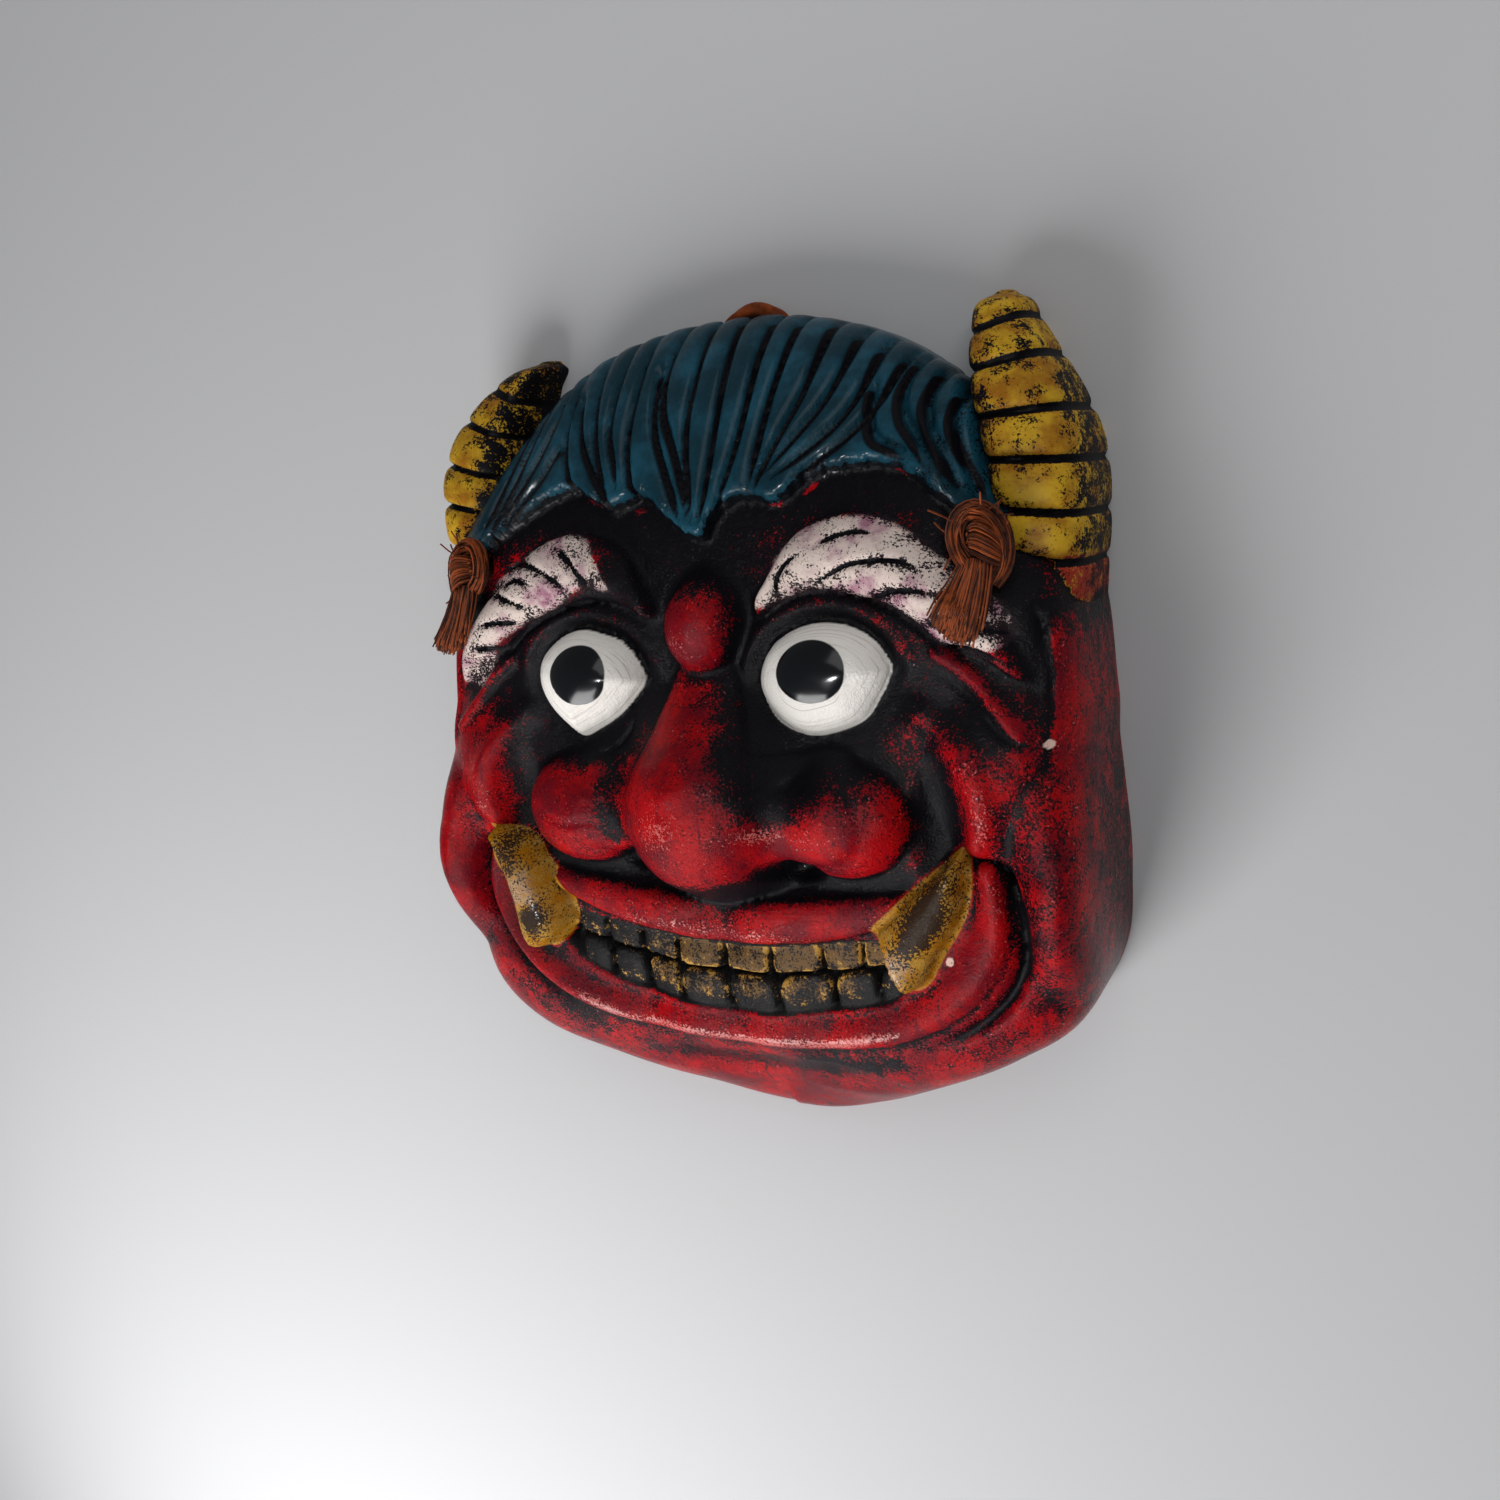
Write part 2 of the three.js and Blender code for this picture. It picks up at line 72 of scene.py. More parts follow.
# %% Camera
CAMERA_AT = [157.5, 43.9, 311.6]
PICTURE_RIGHT = (0.8807, -0.0880, -0.4654)
PICTURE_UP = (-0.0210, 0.9744, -0.2240)
PICTURE_BACK = (0.4732, 0.2070, 0.8563)
LENS_MM = 30
SENSOR_MM = 36

camera_data = bpy.data.cameras.new("camera")
camera_data.lens = LENS_MM
camera_data.sensor_width = SENSOR_MM
camera = bpy.data.objects.new("camera", camera_data)
turn = Matrix((PICTURE_RIGHT, PICTURE_UP, PICTURE_BACK)).transposed().to_4x4()
camera.matrix_world = Matrix.Translation(Vector(to_scene(CAMERA_AT)[0])) @ turn
bpy.context.collection.objects.link(camera)
bpy.context.scene.camera = camera
print("camera at", tuple(round(value, 3) for value in camera.location))

# %% [markdown]
# Many lines on this mask are drawn by hand through a few points: the cord, the fringe, the
# outline of a fang. A curve with handles would need two more points for each of them. This one
# passes through every point that it is given, so we can read the points off the real thing and
# still get a smooth line. The second helper gives two directions across such a line, which a
# tube around it needs.

# %% A smooth line through a few points
def smooth_line(points, steps):
    given = np.array(points, float)
    given = np.vstack([2 * given[0] - given[1], given, 2 * given[-1] - given[-2]])
    share = np.linspace(0, 1, steps, endpoint=False)[:, None]
    line = []
    for k in range(1, len(given) - 2):
        before, start, end, after = given[k - 1:k + 3]
        gap_in, gap, gap_out = (
            max(1e-6, np.linalg.norm(b - a)) ** 0.5
            for a, b in ((before, start), (start, end), (end, after))
        )
        leave = (start - before) / gap_in - (end - before) / (gap_in + gap) + (end - start) / gap
        arrive = (end - start) / gap - (after - start) / (gap + gap_out) + (after - end) / gap_out
        line.append(
            (2 * share**3 - 3 * share**2 + 1) * start
            + (share**3 - 2 * share**2 + share) * leave * gap
            + (3 * share**2 - 2 * share**3) * end
            + (share**3 - share**2) * arrive * gap
        )
    line.append(given[-2][None])
    return np.vstack(line)


START_ACROSS = (0.31, 0.17, 0.93)


def across_line(line):
    ahead = np.gradient(line, axis=0)
    ahead /= np.linalg.norm(ahead, axis=1)[:, None]
    side = np.zeros_like(line)
    last = np.cross(ahead[0], START_ACROSS)
    for i, way in enumerate(ahead):
        last = last - way * last.dot(way)
        last = last / np.linalg.norm(last)
        side[i] = last
    return side, np.cross(ahead, side)


print("points on a quarter line:", len(smooth_line([(0, 0), (1, 1), (2, 1)], 8)))

# %% [markdown]
# Cord and threads are tubes. A curve with a round bevel would give a smooth one, without the
# plies of a twisted cord. So we roll a grid into a tube: one side of the grid runs round the
# thread and the other along it, and the radius may change on the way. Each tube also carries a
# shade, which its material reads, so that threads can differ.

# %% Tubes of thread
def roll_tube(bm, line, radius_at, around):
    steps = len(line) - 1
    side, up = across_line(line)
    made = bmesh.ops.create_grid(bm, x_segments=around, y_segments=steps, size=1.0)
    for vert in made["verts"]:
        angle = math.pi * (vert.co.x + 1)
        i = round((vert.co.y + 1) / 2 * steps)
        radius = radius_at(angle, i / steps)
        place = line[i] + radius * (math.cos(angle) * side[i] + math.sin(angle) * up[i])
        vert.co = to_scene(place)[0]
    return made["verts"]


def new_threads():
    bm = bmesh.new()
    bm.verts.layers.float.new("shade")
    return bm


def shade_tube(bm, verts, shade):
    layer = bm.verts.layers.float["shade"]
    for vert in verts:
        vert[layer] = shade


def close_tubes(bm):
    bmesh.ops.remove_doubles(bm, verts=bm.verts[:], dist=1e-7)
    ends = [edge for edge in bm.edges if edge.is_boundary]
    bmesh.ops.holes_fill(bm, edges=ends, sides=0)
    bmesh.ops.recalc_face_normals(bm, faces=bm.faces[:])


def keep(bm, name):
    mesh = bpy.data.meshes.new(name)
    bm.to_mesh(mesh)
    bm.free()
    mesh.polygons.foreach_set("use_smooth", np.ones(len(mesh.polygons), bool))
    piece = bpy.data.objects.new(name, mesh)
    bpy.context.collection.objects.link(piece)
    print(name, "has", len(mesh.polygons), "faces")
    return piece


print("tools for tubes ready")

# %% [markdown]
# ## Cord
# The cord runs from one temple to the other inside the hollow, with a bight over the crown to
# hang the mask by. Its right half is a list of points, and the left half mirrors it. It is
# twisted from three plies, made as three lobes that turn as they go.

# %% Cord
CORD_HALF = [
    (70.2, 27.8, 35), (70.2, 27.8, 27), (68.5, 31, 17), (62, 38.5, 9), (52.5, 48, 4),
    (41, 57, 2.6), (28, 65.5, 2.5), (17.5, 71, 2.5), (12, 76.5, 2.5), (9.8, 81.4, 2.5),
    (6.8, 86.2, 2.5),
]
CORD_TOP = (0, 88.6, 2.5)
CORD_RADIUS = 2.0
CORD_STEPS = 12
CORD_AROUND = 18
CORD_SHADE = 0.55
CORD_PLIES = 3
PLY_TURN = 9.0
PLY_DEPTH = 0.2

cord_points = CORD_HALF + [CORD_TOP] + [(-x, y, z) for x, y, z in reversed(CORD_HALF)]
cord_line = smooth_line(cord_points, CORD_STEPS)
cord_length = float(np.linalg.norm(np.diff(cord_line, axis=0), axis=1).sum())


def ply_radius(angle, share):
    lobe = abs(math.cos(CORD_PLIES / 2 * (angle - share * cord_length / PLY_TURN)))
    return CORD_RADIUS * (1 - PLY_DEPTH + PLY_DEPTH * lobe)


bm = new_threads()
shade_tube(bm, roll_tube(bm, cord_line, ply_radius, CORD_AROUND), CORD_SHADE)
close_tubes(bm)
hanging_cord = keep(bm, "hanging_cord_thread")
print("cord length in mm:", round(cord_length, 1))

# %% [markdown]
# ## The head
# The clay head is a dome over the back rim. Seen from its centre, the rim's radius, the dome's
# height and its roundness change with direction: round over the crown, nearly upright at the
# cheeks. These few measured keys carry the whole outline, with the fuller left side that the
# hand-moulded mask has.

# %% Measured outline of the head
RIM_RIGHT = [
    (0, 85), (26, 80.5), (40, 74.8), (54, 65.5), (70, 50), (82, 33), (88, 10), (89.8, -12),
    (92, -35), (93.3, -60), (92, -78), (86, -91.5), (72, -103), (51, -116), (29, -127.5), (0, -136.5),
]
RIM_LEFT = [
    (0, 85), (26, 83.5), (40, 79.5), (54, 70.5), (70, 52.5), (82, 33), (88, 10), (89.8, -12),
    (92, -35), (93.3, -60), (93, -80), (89.5, -97.5), (77, -110.5), (53, -120.5), (29, -129.5), (0, -136.5),
]
HEAD_CENTRE_Y = -25


def along(keys, t):
    knots = np.array([key[0] for key in keys], float)
    levels = np.array([key[1] for key in keys], float)
    slopes = np.zeros_like(levels)
    slopes[1:-1] = (levels[2:] - levels[:-2]) / (knots[2:] - knots[:-2])
    t = np.clip(t, knots[0], knots[-1])
    i = np.clip(np.searchsorted(knots, t, side="right") - 1, 0, len(knots) - 2)
    span = knots[i + 1] - knots[i]
    f = (t - knots[i]) / span
    g = 1 - f
    level = levels[i] * g * g * (1 + 2 * f) + levels[i + 1] * f * f * (1 + 2 * g)
    return level + span * f * g * (slopes[i] * g - slopes[i + 1] * f)


def polar(rim):
    keys = [(math.atan2(y - HEAD_CENTRE_Y, x), math.hypot(x, y - HEAD_CENTRE_Y)) for x, y in rim]
    return keys[::-1]


rim_right = polar(RIM_RIGHT)
rim_left = polar(RIM_LEFT)
print("rim keys:", len(rim_right), "right,", len(rim_left), "left")

# %% [markdown]
# Above the rim the dome arches like a bowl at the crown and stands nearly upright at the cheeks.
# One power does both: 2 gives a round arch, and 8 nearly a box. The change is rounded off at the
# middle line, where the two halves of the face meet, so that hardly a crease shows there.

# %% Dome over the outline
CROWN_HEIGHT = 45
CHIN_HEIGHT = 49
ROUND_MIDDLE = 2
ROUND_SIDE = 6
FALL_ABOVE = 3.2
FALL_BELOW = 1.3
CREASE = 0.04
CREASE_SPAN = 0.9608


def head_at(angle, sign):
    radius = np.where(sign < 0, along(rim_left, angle), along(rim_right, angle))
    middle = (CROWN_HEIGHT + CHIN_HEIGHT) / 2
    height = middle + (CROWN_HEIGHT - middle) * np.sin(angle)
    fall = np.where(angle > 0, FALL_ABOVE, FALL_BELOW)
    sideways = np.sqrt(np.clip(np.cos(angle), 0, 1) ** 2 + CREASE**2) - CREASE
    roundness = ROUND_MIDDLE + ROUND_SIDE * (sideways / CREASE_SPAN) ** fall
    return radius, height, roundness


def dome_height(x, y):
    rise = y - HEAD_CENTRE_Y
    radius, height, roundness = head_at(np.arctan2(rise, np.abs(x)), np.sign(x))
    out = np.clip(np.hypot(x, rise) / radius, 0, 1)
    return height * (1 - out**roundness) ** (1 / roundness)


NOSE_PLACE = (np.array(0.0), np.array(-35.5))
print("dome over the nose:", round(float(dome_height(*NOSE_PLACE)), 1), "mm")

# %% [markdown]
# A flat square sheet of clay is spread over that dome. Along each direction we walk the dome's
# section by its length, so that the sheet's squares stay about as large on the sides as on the
# face. The walk is worked out once for a fan of directions and then looked up.

# %% Spread a square sheet over the head
FAN = 361
WALK = 121
TURN_STEPS = 90
OUTER_WALL_SHARE = 0.4


def section_tables(inset, wall_share):
    angles = np.linspace(-math.pi / 2, math.pi / 2, FAN)
    turns = np.linspace(0, math.pi / 2, TURN_STEPS)
    shares = np.linspace(0, 1, WALK)
    tables = {}
    for sign in (-1, 1):
        radius, height, roundness = head_at(angles, np.full(FAN, sign))
        out = (radius - inset)[:, None] * np.sin(turns) ** (2 / roundness[:, None])
        rise = (height - inset)[:, None] * np.clip(np.cos(turns), 0, 1) ** (2 / roundness[:, None])
        rise[:, -1] = 0
        step = np.hypot(np.diff(out, axis=1), wall_share * np.diff(rise, axis=1))
        length = np.concatenate([np.zeros((FAN, 1)), np.cumsum(step, axis=1)], axis=1)
        walked = [np.interp(shares * total[-1], total, o) for total, o in zip(length, out)]
        risen = [np.interp(shares * total[-1], total, r) for total, r in zip(length, rise)]
        tables[sign] = (np.array(walked), np.array(risen))
    return tables


def look_up(table, fan, walk):
    i = np.clip(fan.astype(int), 0, FAN - 2)
    j = np.clip(walk.astype(int), 0, WALK - 2)
    f = fan - i
    g = walk - j
    near = table[i, j] * (1 - g) + table[i, j + 1] * g
    far = table[i + 1, j] * (1 - g) + table[i + 1, j + 1] * g
    return near * (1 - f) + far * f


def spread(u, v, tables):
    across = u * np.sqrt(1 - v * v / 2)
    up = v * np.sqrt(1 - u * u / 2)
    share = np.clip(np.hypot(across, up), 0, 1)
    side = np.arctan2(up, np.abs(across))
    fan = (side / math.pi + 0.5) * (FAN - 1)
    walk = share * (WALK - 1)
    left = across < 0
    out = np.where(left, look_up(tables[-1][0], fan, walk), look_up(tables[1][0], fan, walk))
    rise = np.where(left, look_up(tables[-1][1], fan, walk), look_up(tables[1][1], fan, walk))
    x = np.where(left, -1, 1) * out * np.cos(side)
    return x, HEAD_CENTRE_Y + out * np.sin(side), rise


outer_walk = section_tables(0, OUTER_WALL_SHARE)
crown_rim = spread(np.zeros(1), np.ones(1), outer_walk)
print("crown rim at", [round(float(value[0]), 1) for value in crown_rim])

# %% [markdown]
# ## Carving tools
# The maker pressed balls and rolls of clay on the face, smoothed the corners between them and
# cut lines with a knife. It could be sculpted by hand. We use a few number tools, because each
# form then stays at its measured place: a soft mound, a ridge, the top of a ball, and a blend
# that fills the corner between two forms as a wet finger does.

# %% Mounds, ridges and blends
def mound(x, y, centre, half, rise):
    off = ((x - centre[0]) / half[0]) ** 2 + ((y - centre[1]) / half[1]) ** 2
    return rise * np.clip(1 - off, 0, 1) ** 1.5


def ridge(off, rise, width):
    return rise * np.exp(-(off / width) ** 2)


def ball_top(x, y, at, half, flank=0.99):
    off = np.hypot((x - at[0]) / half[0], (y - at[1]) / half[1])
    upper = np.minimum(off, flank)
    level = np.sqrt(1 - upper * upper)
    return at[2] + half[2] * (level - (off - upper) * flank / math.sqrt(1 - flank * flank))


def blend_up(a, b, corner):
    near = np.clip(1 - np.abs(a - b) / corner, 0, 1)
    return np.maximum(a, b) + near * near * corner / 4


def ease(low, high, value):
    t = np.clip((value - low) / (high - low), 0, 1)
    return t * t * (3 - 2 * t)


print("a ridge of 2 mm is", round(float(ridge(1.0, 2.0, 1.0)), 2), "mm high at its width")

# %% [markdown]
# Cut lines and painted edges need distances: how far a point lies from a drawn line, and how far
# it lies inside a drawn outline. Past a reach of some millimetres the exact distance matters no
# more, so points further off are left out, which saves most of the work.

# %% Distances to lines and outlines
REACH = 14.0
LINE_STEPS = 6


def line_reach(x, y, points, steps=LINE_STEPS):
    line = smooth_line(points, steps)
    reach = np.full(x.shape, REACH)
    share = np.zeros(x.shape)
    low = line.min(axis=0) - REACH
    high = line.max(axis=0) + REACH
    near = (x > low[0]) & (x < high[0]) & (y > low[1]) & (y < high[1])
    px, py = x[near], y[near]
    best, place = np.full(px.shape, REACH), np.zeros(px.shape)
    count = len(line) - 1
    for k in range(count):
        start, way = line[k], line[k + 1] - line[k]
        size = max(1e-9, way.dot(way))
        t = np.clip(((px - start[0]) * way[0] + (py - start[1]) * way[1]) / size, 0, 1)
        off = np.hypot(px - start[0] - t * way[0], py - start[1] - t * way[1])
        closer = off < best
        best = np.where(closer, off, best)
        place = np.where(closer, (k + t) / count, place)
    reach[near] = best
    share[near] = place
    return reach, share


def inside_by(x, y, points):
    ring = list(points) + [points[0], points[1]]
    line = smooth_line(ring, LINE_STEPS)[:-LINE_STEPS]
    reach, _ = line_reach(x, y, line, steps=1)
    low, high = line.min(axis=0), line.max(axis=0)
    near = (x > low[0]) & (x < high[0]) & (y > low[1]) & (y < high[1])
    inside = np.zeros(x.shape, bool)
    px, py = x[near], y[near]
    odd = np.zeros(px.shape, bool)
    for (ax, ay), (bx, by) in zip(line, np.roll(line, -1, axis=0)):
        crosses = (ay > py) != (by > py)
        odd ^= crosses & (px < (bx - ax) * (py - ay) / (by - ay + 1e-12) + ax)
    inside[near] = odd
    return np.where(inside, reach, -reach)


print("distances are known up to", REACH, "mm")

# %% [markdown]
# ## Where each form lies
# These are the outlines and cut lines of the real mask, read off its face in millimetres. Left
# and right differ a little, because each was drawn by hand.

# %% Outlines of eyes, brows and fangs
EYES = {
    1: [(49.6, 0.5), (46, 5.8), (40, 9.4), (32, 10.6), (24, 8.8), (18, 4.5), (15.2, -2), (16.5, -8),
        (21, -13.5), (28, -16.4), (36, -15.2), (42.5, -12.2), (46, -7.5), (48.4, -3.4)],
    -1: [(-18.4, -2), (-20.5, 2.5), (-25, 7.2), (-30, 9.2), (-37, 10.6), (-44, 8.6), (-49.5, 4), (-51, -2),
         (-49.3, -8), (-45, -13.4), (-38.8, -17.4), (-33.5, -15.4), (-27, -11.6), (-22, -7)],
}
PUPILS = {1: ((32, 0.2), (8.9, 7.3)), -1: ((-34.4, -0.2), (8.4, 7.6))}
BROWS = {
    1: [(15.6, 14.6), (16, 21), (19.5, 28), (26, 33), (36, 35.4), (47, 34.6), (55, 30.6), (61, 26),
        (67, 21.6), (74, 16), (79, 9), (78, 5), (71, 2.4), (63, 3.6), (56.5, 8.8), (48, 13.6),
        (40, 15.8), (32, 17.4), (25, 16), (20, 14.4)],
    -1: [(-24, 20.4), (-29, 28), (-33.5, 34), (-40, 36), (-48, 34.2), (-57, 30), (-65, 24.5), (-69, 18),
         (-72, 11), (-77, 3), (-79, -3), (-72, -5), (-66, 1), (-62, 8), (-56, 11), (-49, 14),
         (-42, 16.6), (-34, 21), (-29, 20)],
}
FANGS = {
    1: [(65.8, -41.6), (67, -50), (64.6, -60), (59.6, -68.6), (54.6, -77.2), (50.4, -79),
        (46.8, -74.6), (44, -67.6), (41.2, -63.6), (46.6, -57.8), (52.6, -52), (59, -46.8)],
    -1: [(-70.4, -41.2), (-64, -43.6), (-55.8, -49.4), (-49.6, -57), (-46, -65.6), (-49, -72),
         (-55.4, -77.6), (-61.4, -76.4), (-66.6, -69.6), (-70.6, -60.4), (-72.8, -50)],
}
FANG_SPINE = {
    1: [(66, -41), (63, -48.6), (58.6, -56), (53, -64), (49.4, -70), (48, -76)],
    -1: [(-70.6, -40.6), (-65.6, -48.6), (-61, -57), (-58, -66), (-57, -71), (-57, -78)],
}
FANG_HALF = [(0, 1.2), (0.2, 4.2), (0.4, 7), (0.62, 8.8), (0.8, 9.6), (1, 9.6)]
drawn = [points for group in (EYES, BROWS, FANGS) for points in group.values()]
print("outline points:", sum(len(points) for points in drawn))

# %% [markdown]
# A knife drew the hairs of the brows, the folds beside the eyes and the grooves that part the
# locks of hair. Each cut is one line through a few points. They could be painted on, but real
# grooves catch the light and hold the black wash, so they are carved.

# %% Cut lines of brows and face, and the locks of hair
BROW_CUTS = [
    [(31.5, 28.5), (36, 30.2), (41, 31.2), (47.5, 30.6)],
    [(21.6, 17.2), (22, 21), (24, 24.6), (27.6, 26.8)],
    [(31, 19.5), (36, 22), (41, 24), (47, 24.6), (54, 24), (58.5, 21.6)],
    [(45, 15.5), (50, 17.2), (56, 17.6), (63, 16.4)],
    [(58, 9.6), (64, 10.2), (70, 9.2), (79, 6)],
    [(62, 4.6), (68, 4.2), (74, 2), (80, -0.6)],
    [(-43.5, 33), (-38.5, 29), (-34.5, 25), (-31, 20.6)],
    [(-63, 26.6), (-56, 28.4), (-49, 27.4), (-43, 24.4), (-38, 20.4)],
    [(-61, 22.8), (-55, 24.4), (-50, 23)],
    [(-67, 20.6), (-61, 20.4), (-55, 18.4), (-51, 17)],
    [(-68, 13), (-61, 13.6), (-54, 13.2)],
    [(-71, 6), (-66, 6.8), (-61, 6)],
]
FACE_CUTS = [
    [(20, 15), (31, 18.4), (40, 16.6), (49, 13.6), (57, 8), (62, 2.6)],
    [(-26, 17), (-34, 18), (-42, 15.6), (-50, 12.6), (-57, 9), (-63, 2)],
    [(-22.4, -12), (-24.5, -17), (-29, -20.6), (-35, -22.4)],
    [(62, -2), (69, -8.4), (75, -14.6), (80, -17.6)],
    [(81.4, 12), (83.4, 6), (84.4, -1.6), (84.6, -12), (84.4, -23)],
]
LOCK_CUTS = [
    [(2.6, 83), (2.6, 70), (2.4, 60), (1.8, 50), (0.6, 41), (-0.4, 35)],
    [(11.4, 82), (10.6, 70), (9.8, 60), (8.4, 52), (6, 44), (4.2, 39)],
    [(18.4, 80.5), (17.2, 70), (15.6, 60), (14.4, 52), (12.6, 42)],
    [(27, 79), (26, 70), (24, 62), (20, 54), (15.8, 46), (14.4, 42)],
    [(34.6, 75), (33.4, 68), (30, 60), (24, 53), (17.4, 46)],
    [(41, 71), (39, 62), (34.4, 55), (27, 49.4), (19, 44.6)],
    [(47, 68), (44, 59), (38.4, 52.4), (31, 47.6), (24.6, 44.4)],
    [(41.4, 62), (42, 56), (44, 51), (48.6, 48.4), (54, 45.6)],
    [(49.6, 67), (48.4, 61), (50, 55), (53.6, 50), (58, 44)],
    [(55.4, 64), (54.4, 58), (56.6, 51.4), (60.4, 45.6), (64.6, 39)],
    [(61, 58.6), (61, 53.6), (63.6, 47), (67.6, 40), (70, 35)],
    [(-5.4, 83), (-5.6, 70), (-6, 60), (-5.4, 52), (-4, 44), (-2.4, 36)],
    [(-13.6, 82.6), (-14.6, 70), (-13.4, 62), (-9.6, 54), (-6, 45), (-3.8, 37)],
    [(-17, 72), (-16.4, 64), (-15, 57), (-12, 50), (-8.4, 42), (-5.8, 36)],
    [(-22.4, 83), (-22.6, 70), (-23, 62), (-22.8, 54), (-21.4, 47), (-19, 42)],
    [(-29, 80.6), (-29.4, 66), (-29, 58), (-27, 52), (-24.8, 45)],
    [(-36.4, 79), (-35.4, 68), (-33.4, 58), (-30.8, 50), (-27.4, 43)],
    [(-40.6, 67), (-38, 58), (-34, 51), (-29.4, 44.4), (-26.6, 40.6)],
    [(-43.6, 76), (-44, 68), (-43, 58), (-40.8, 50), (-38, 46)],
    [(-49, 73), (-48.4, 66), (-50, 58), (-54, 50), (-60, 42), (-63, 37)],
    [(-54.4, 68), (-56, 58), (-59, 49), (-63.6, 41), (-66, 35)],
    [(-45, 56), (-49, 49), (-55, 43.4), (-60.6, 38.6)],
    [(-59.6, 63), (-61.6, 54), (-65, 45), (-68.6, 37)],
]
FRINGE = [
    (-72, 30), (-66, 33.6), (-60, 37), (-50, 42), (-44, 44.4), (-38, 45.5), (-33, 42.6), (-27, 39.6),
    (-24, 40.6), (-20, 42), (-16, 41.4), (-12, 37.6), (-6, 33), (-2, 31.2), (0.5, 31.4), (3, 35.6),
    (7, 39.4), (13, 40), (17, 38.8), (21, 39), (25, 42), (30, 44.4), (38, 45.2), (46, 45), (51, 43.8),
    (56, 40.4), (62, 35.6), (72, 31),
]
print(len(BROW_CUTS), "brow cuts,", len(LOCK_CUTS), "cuts between locks")

# %% [markdown]
# The lips are rolls of clay along their middle lines. The upper one follows a shallow smile and
# thins towards its ends. The lower one is drawn through points and has its own width along the
# way. Each point of the face is measured in shares of a lip's half width: 0 on the middle line,
# 1 on the edge.

# %% Lips
UPPER_LIP_Y = -64.8
SMILE = 0.0031
UPPER_LIP_LENGTH = 51
UPPER_LIP_HALF = 6
UPPER_LIP_TAPER = 0.5
LOWER_LIP = [
    (-71, -50), (-73, -60.5), (-69, -72), (-60, -83), (-46, -91), (-28, -95), (-8, -96.2),
    (12, -96), (30, -93.8), (45, -89), (57, -81.4), (65.6, -71.4), (70, -60.5), (69.6, -49),
]
LOWER_LIP_HALF = [(0, 3.2), (0.12, 4), (0.3, 5), (0.5, 5.4), (0.7, 5.6), (0.86, 6.4), (1, 4)]
FAR_OFF = 9.0


def lip_shapes(x, y):
    to_end = np.clip(np.abs(x) / UPPER_LIP_LENGTH, 0, 1)
    upper_half = UPPER_LIP_HALF * (1 - UPPER_LIP_TAPER * to_end**4)
    upper = np.abs(y - UPPER_LIP_Y - SMILE * x * x) / upper_half
    upper = np.where(np.abs(x) < UPPER_LIP_LENGTH, upper, FAR_OFF)
    off, share = line_reach(x, y, LOWER_LIP)
    line = smooth_line(LOWER_LIP, LINE_STEPS)
    place = share * (len(line) - 1)
    near_x = np.interp(place, np.arange(len(line)), line[:, 0])
    near_y = np.interp(place, np.arange(len(line)), line[:, 1])
    outer = np.sign((x - near_x) * near_x + (y - near_y) * (near_y - UPPER_LIP_Y))
    return upper, outer * off / along(LOWER_LIP_HALF, share)


print("lower lip drawn through", len(LOWER_LIP), "points")

# %% [markdown]
# Each tooth is a little pillow with its own corner radius: the upper ones squarish, the lower
# ones rounder. The gaps between them are not even. A tooth could be a mesh of its own, but on
# the real mask it is one clay with the mouth, so it is carved as well.

# %% Mouth and teeth
MOUTH = [
    (-49, -65), (-38, -67.5), (-20, -69.8), (0, -71), (20, -69.8), (38, -67), (46, -67), (49.6, -75),
    (46, -82.2), (36, -86), (17, -89.8), (-2, -90.8), (-20, -89.4), (-36, -86), (-48, -80), (-53, -73),
]
UPPER_GAPS = [-48, -38.1, -26.9, -15.9, -1.8, 12.2, 26.5, 37.6, 49]
UPPER_TEETH = {"top": -68.6, "low": -79.4, "corner": 7, "sink": 1.0}
LOWER_GAPS = [-48, -38, -27, -16, -1.3, 13.3, 28.4, 41, 52]
LOWER_TEETH = {"top": -79.9, "low": -91.6, "corner": 3.4, "sink": 1.5}
TOOTH_GAP = 0.45
NO_TOOTH = 2.0


def tooth_edge(x, y, gaps, row):
    edge = np.full(x.shape, NO_TOOTH)
    middle = (row["top"] + row["low"]) / 2 + SMILE * x * x
    half = (row["top"] - row["low"]) / 2
    corner = row["corner"]
    up = np.abs((y - middle) / half) ** corner
    for left, right in zip(gaps[:-1], gaps[1:]):
        across = (x - (left + right) / 2) / ((right - left - TOOTH_GAP) / 2)
        edge = np.minimum(edge, (np.abs(across) ** corner + up) ** (1 / corner))
    return edge


print("upper teeth:", len(UPPER_GAPS) - 1, "lower teeth:", len(LOWER_GAPS) - 1)

# %% [markdown]
# One function gathers how far each point of the face lies inside each form. The carving uses it
# for heights, and later the paint uses the very same distances, so colours meet the carved edges.

# %% Distances to every form
CUT_STEPS = 4
CUT_TAPER = 0.22
CUT_THINS = 0.7
FRAY = 0.35
LOCK_NOTCH = 1.3
LOCK_NOTCH_WIDTH = 1.1


def eye_reach(x, y):
    eye = np.maximum(inside_by(x, y, EYES[1]), inside_by(x, y, EYES[-1]))
    pupil = np.full(x.shape, -REACH)
    for (cx, cy), (rx, ry) in PUPILS.values():
        off = np.hypot((x - cx) / rx, (y - cy) / ry)
        pupil = np.maximum(pupil, (1 - off) * (rx + ry) / 2)
    return eye, pupil


def nearest_cut(x, y, cuts, open_start=False):
    reach = np.full(x.shape, REACH)
    for cut in cuts:
        off, share = line_reach(x, y, cut, steps=CUT_STEPS)
        to_end = 1 - share if open_start else np.minimum(share, 1 - share)
        thin = 1 - ease(0, CUT_TAPER, to_end)
        reach = np.minimum(reach, off + CUT_THINS * thin)
    return reach


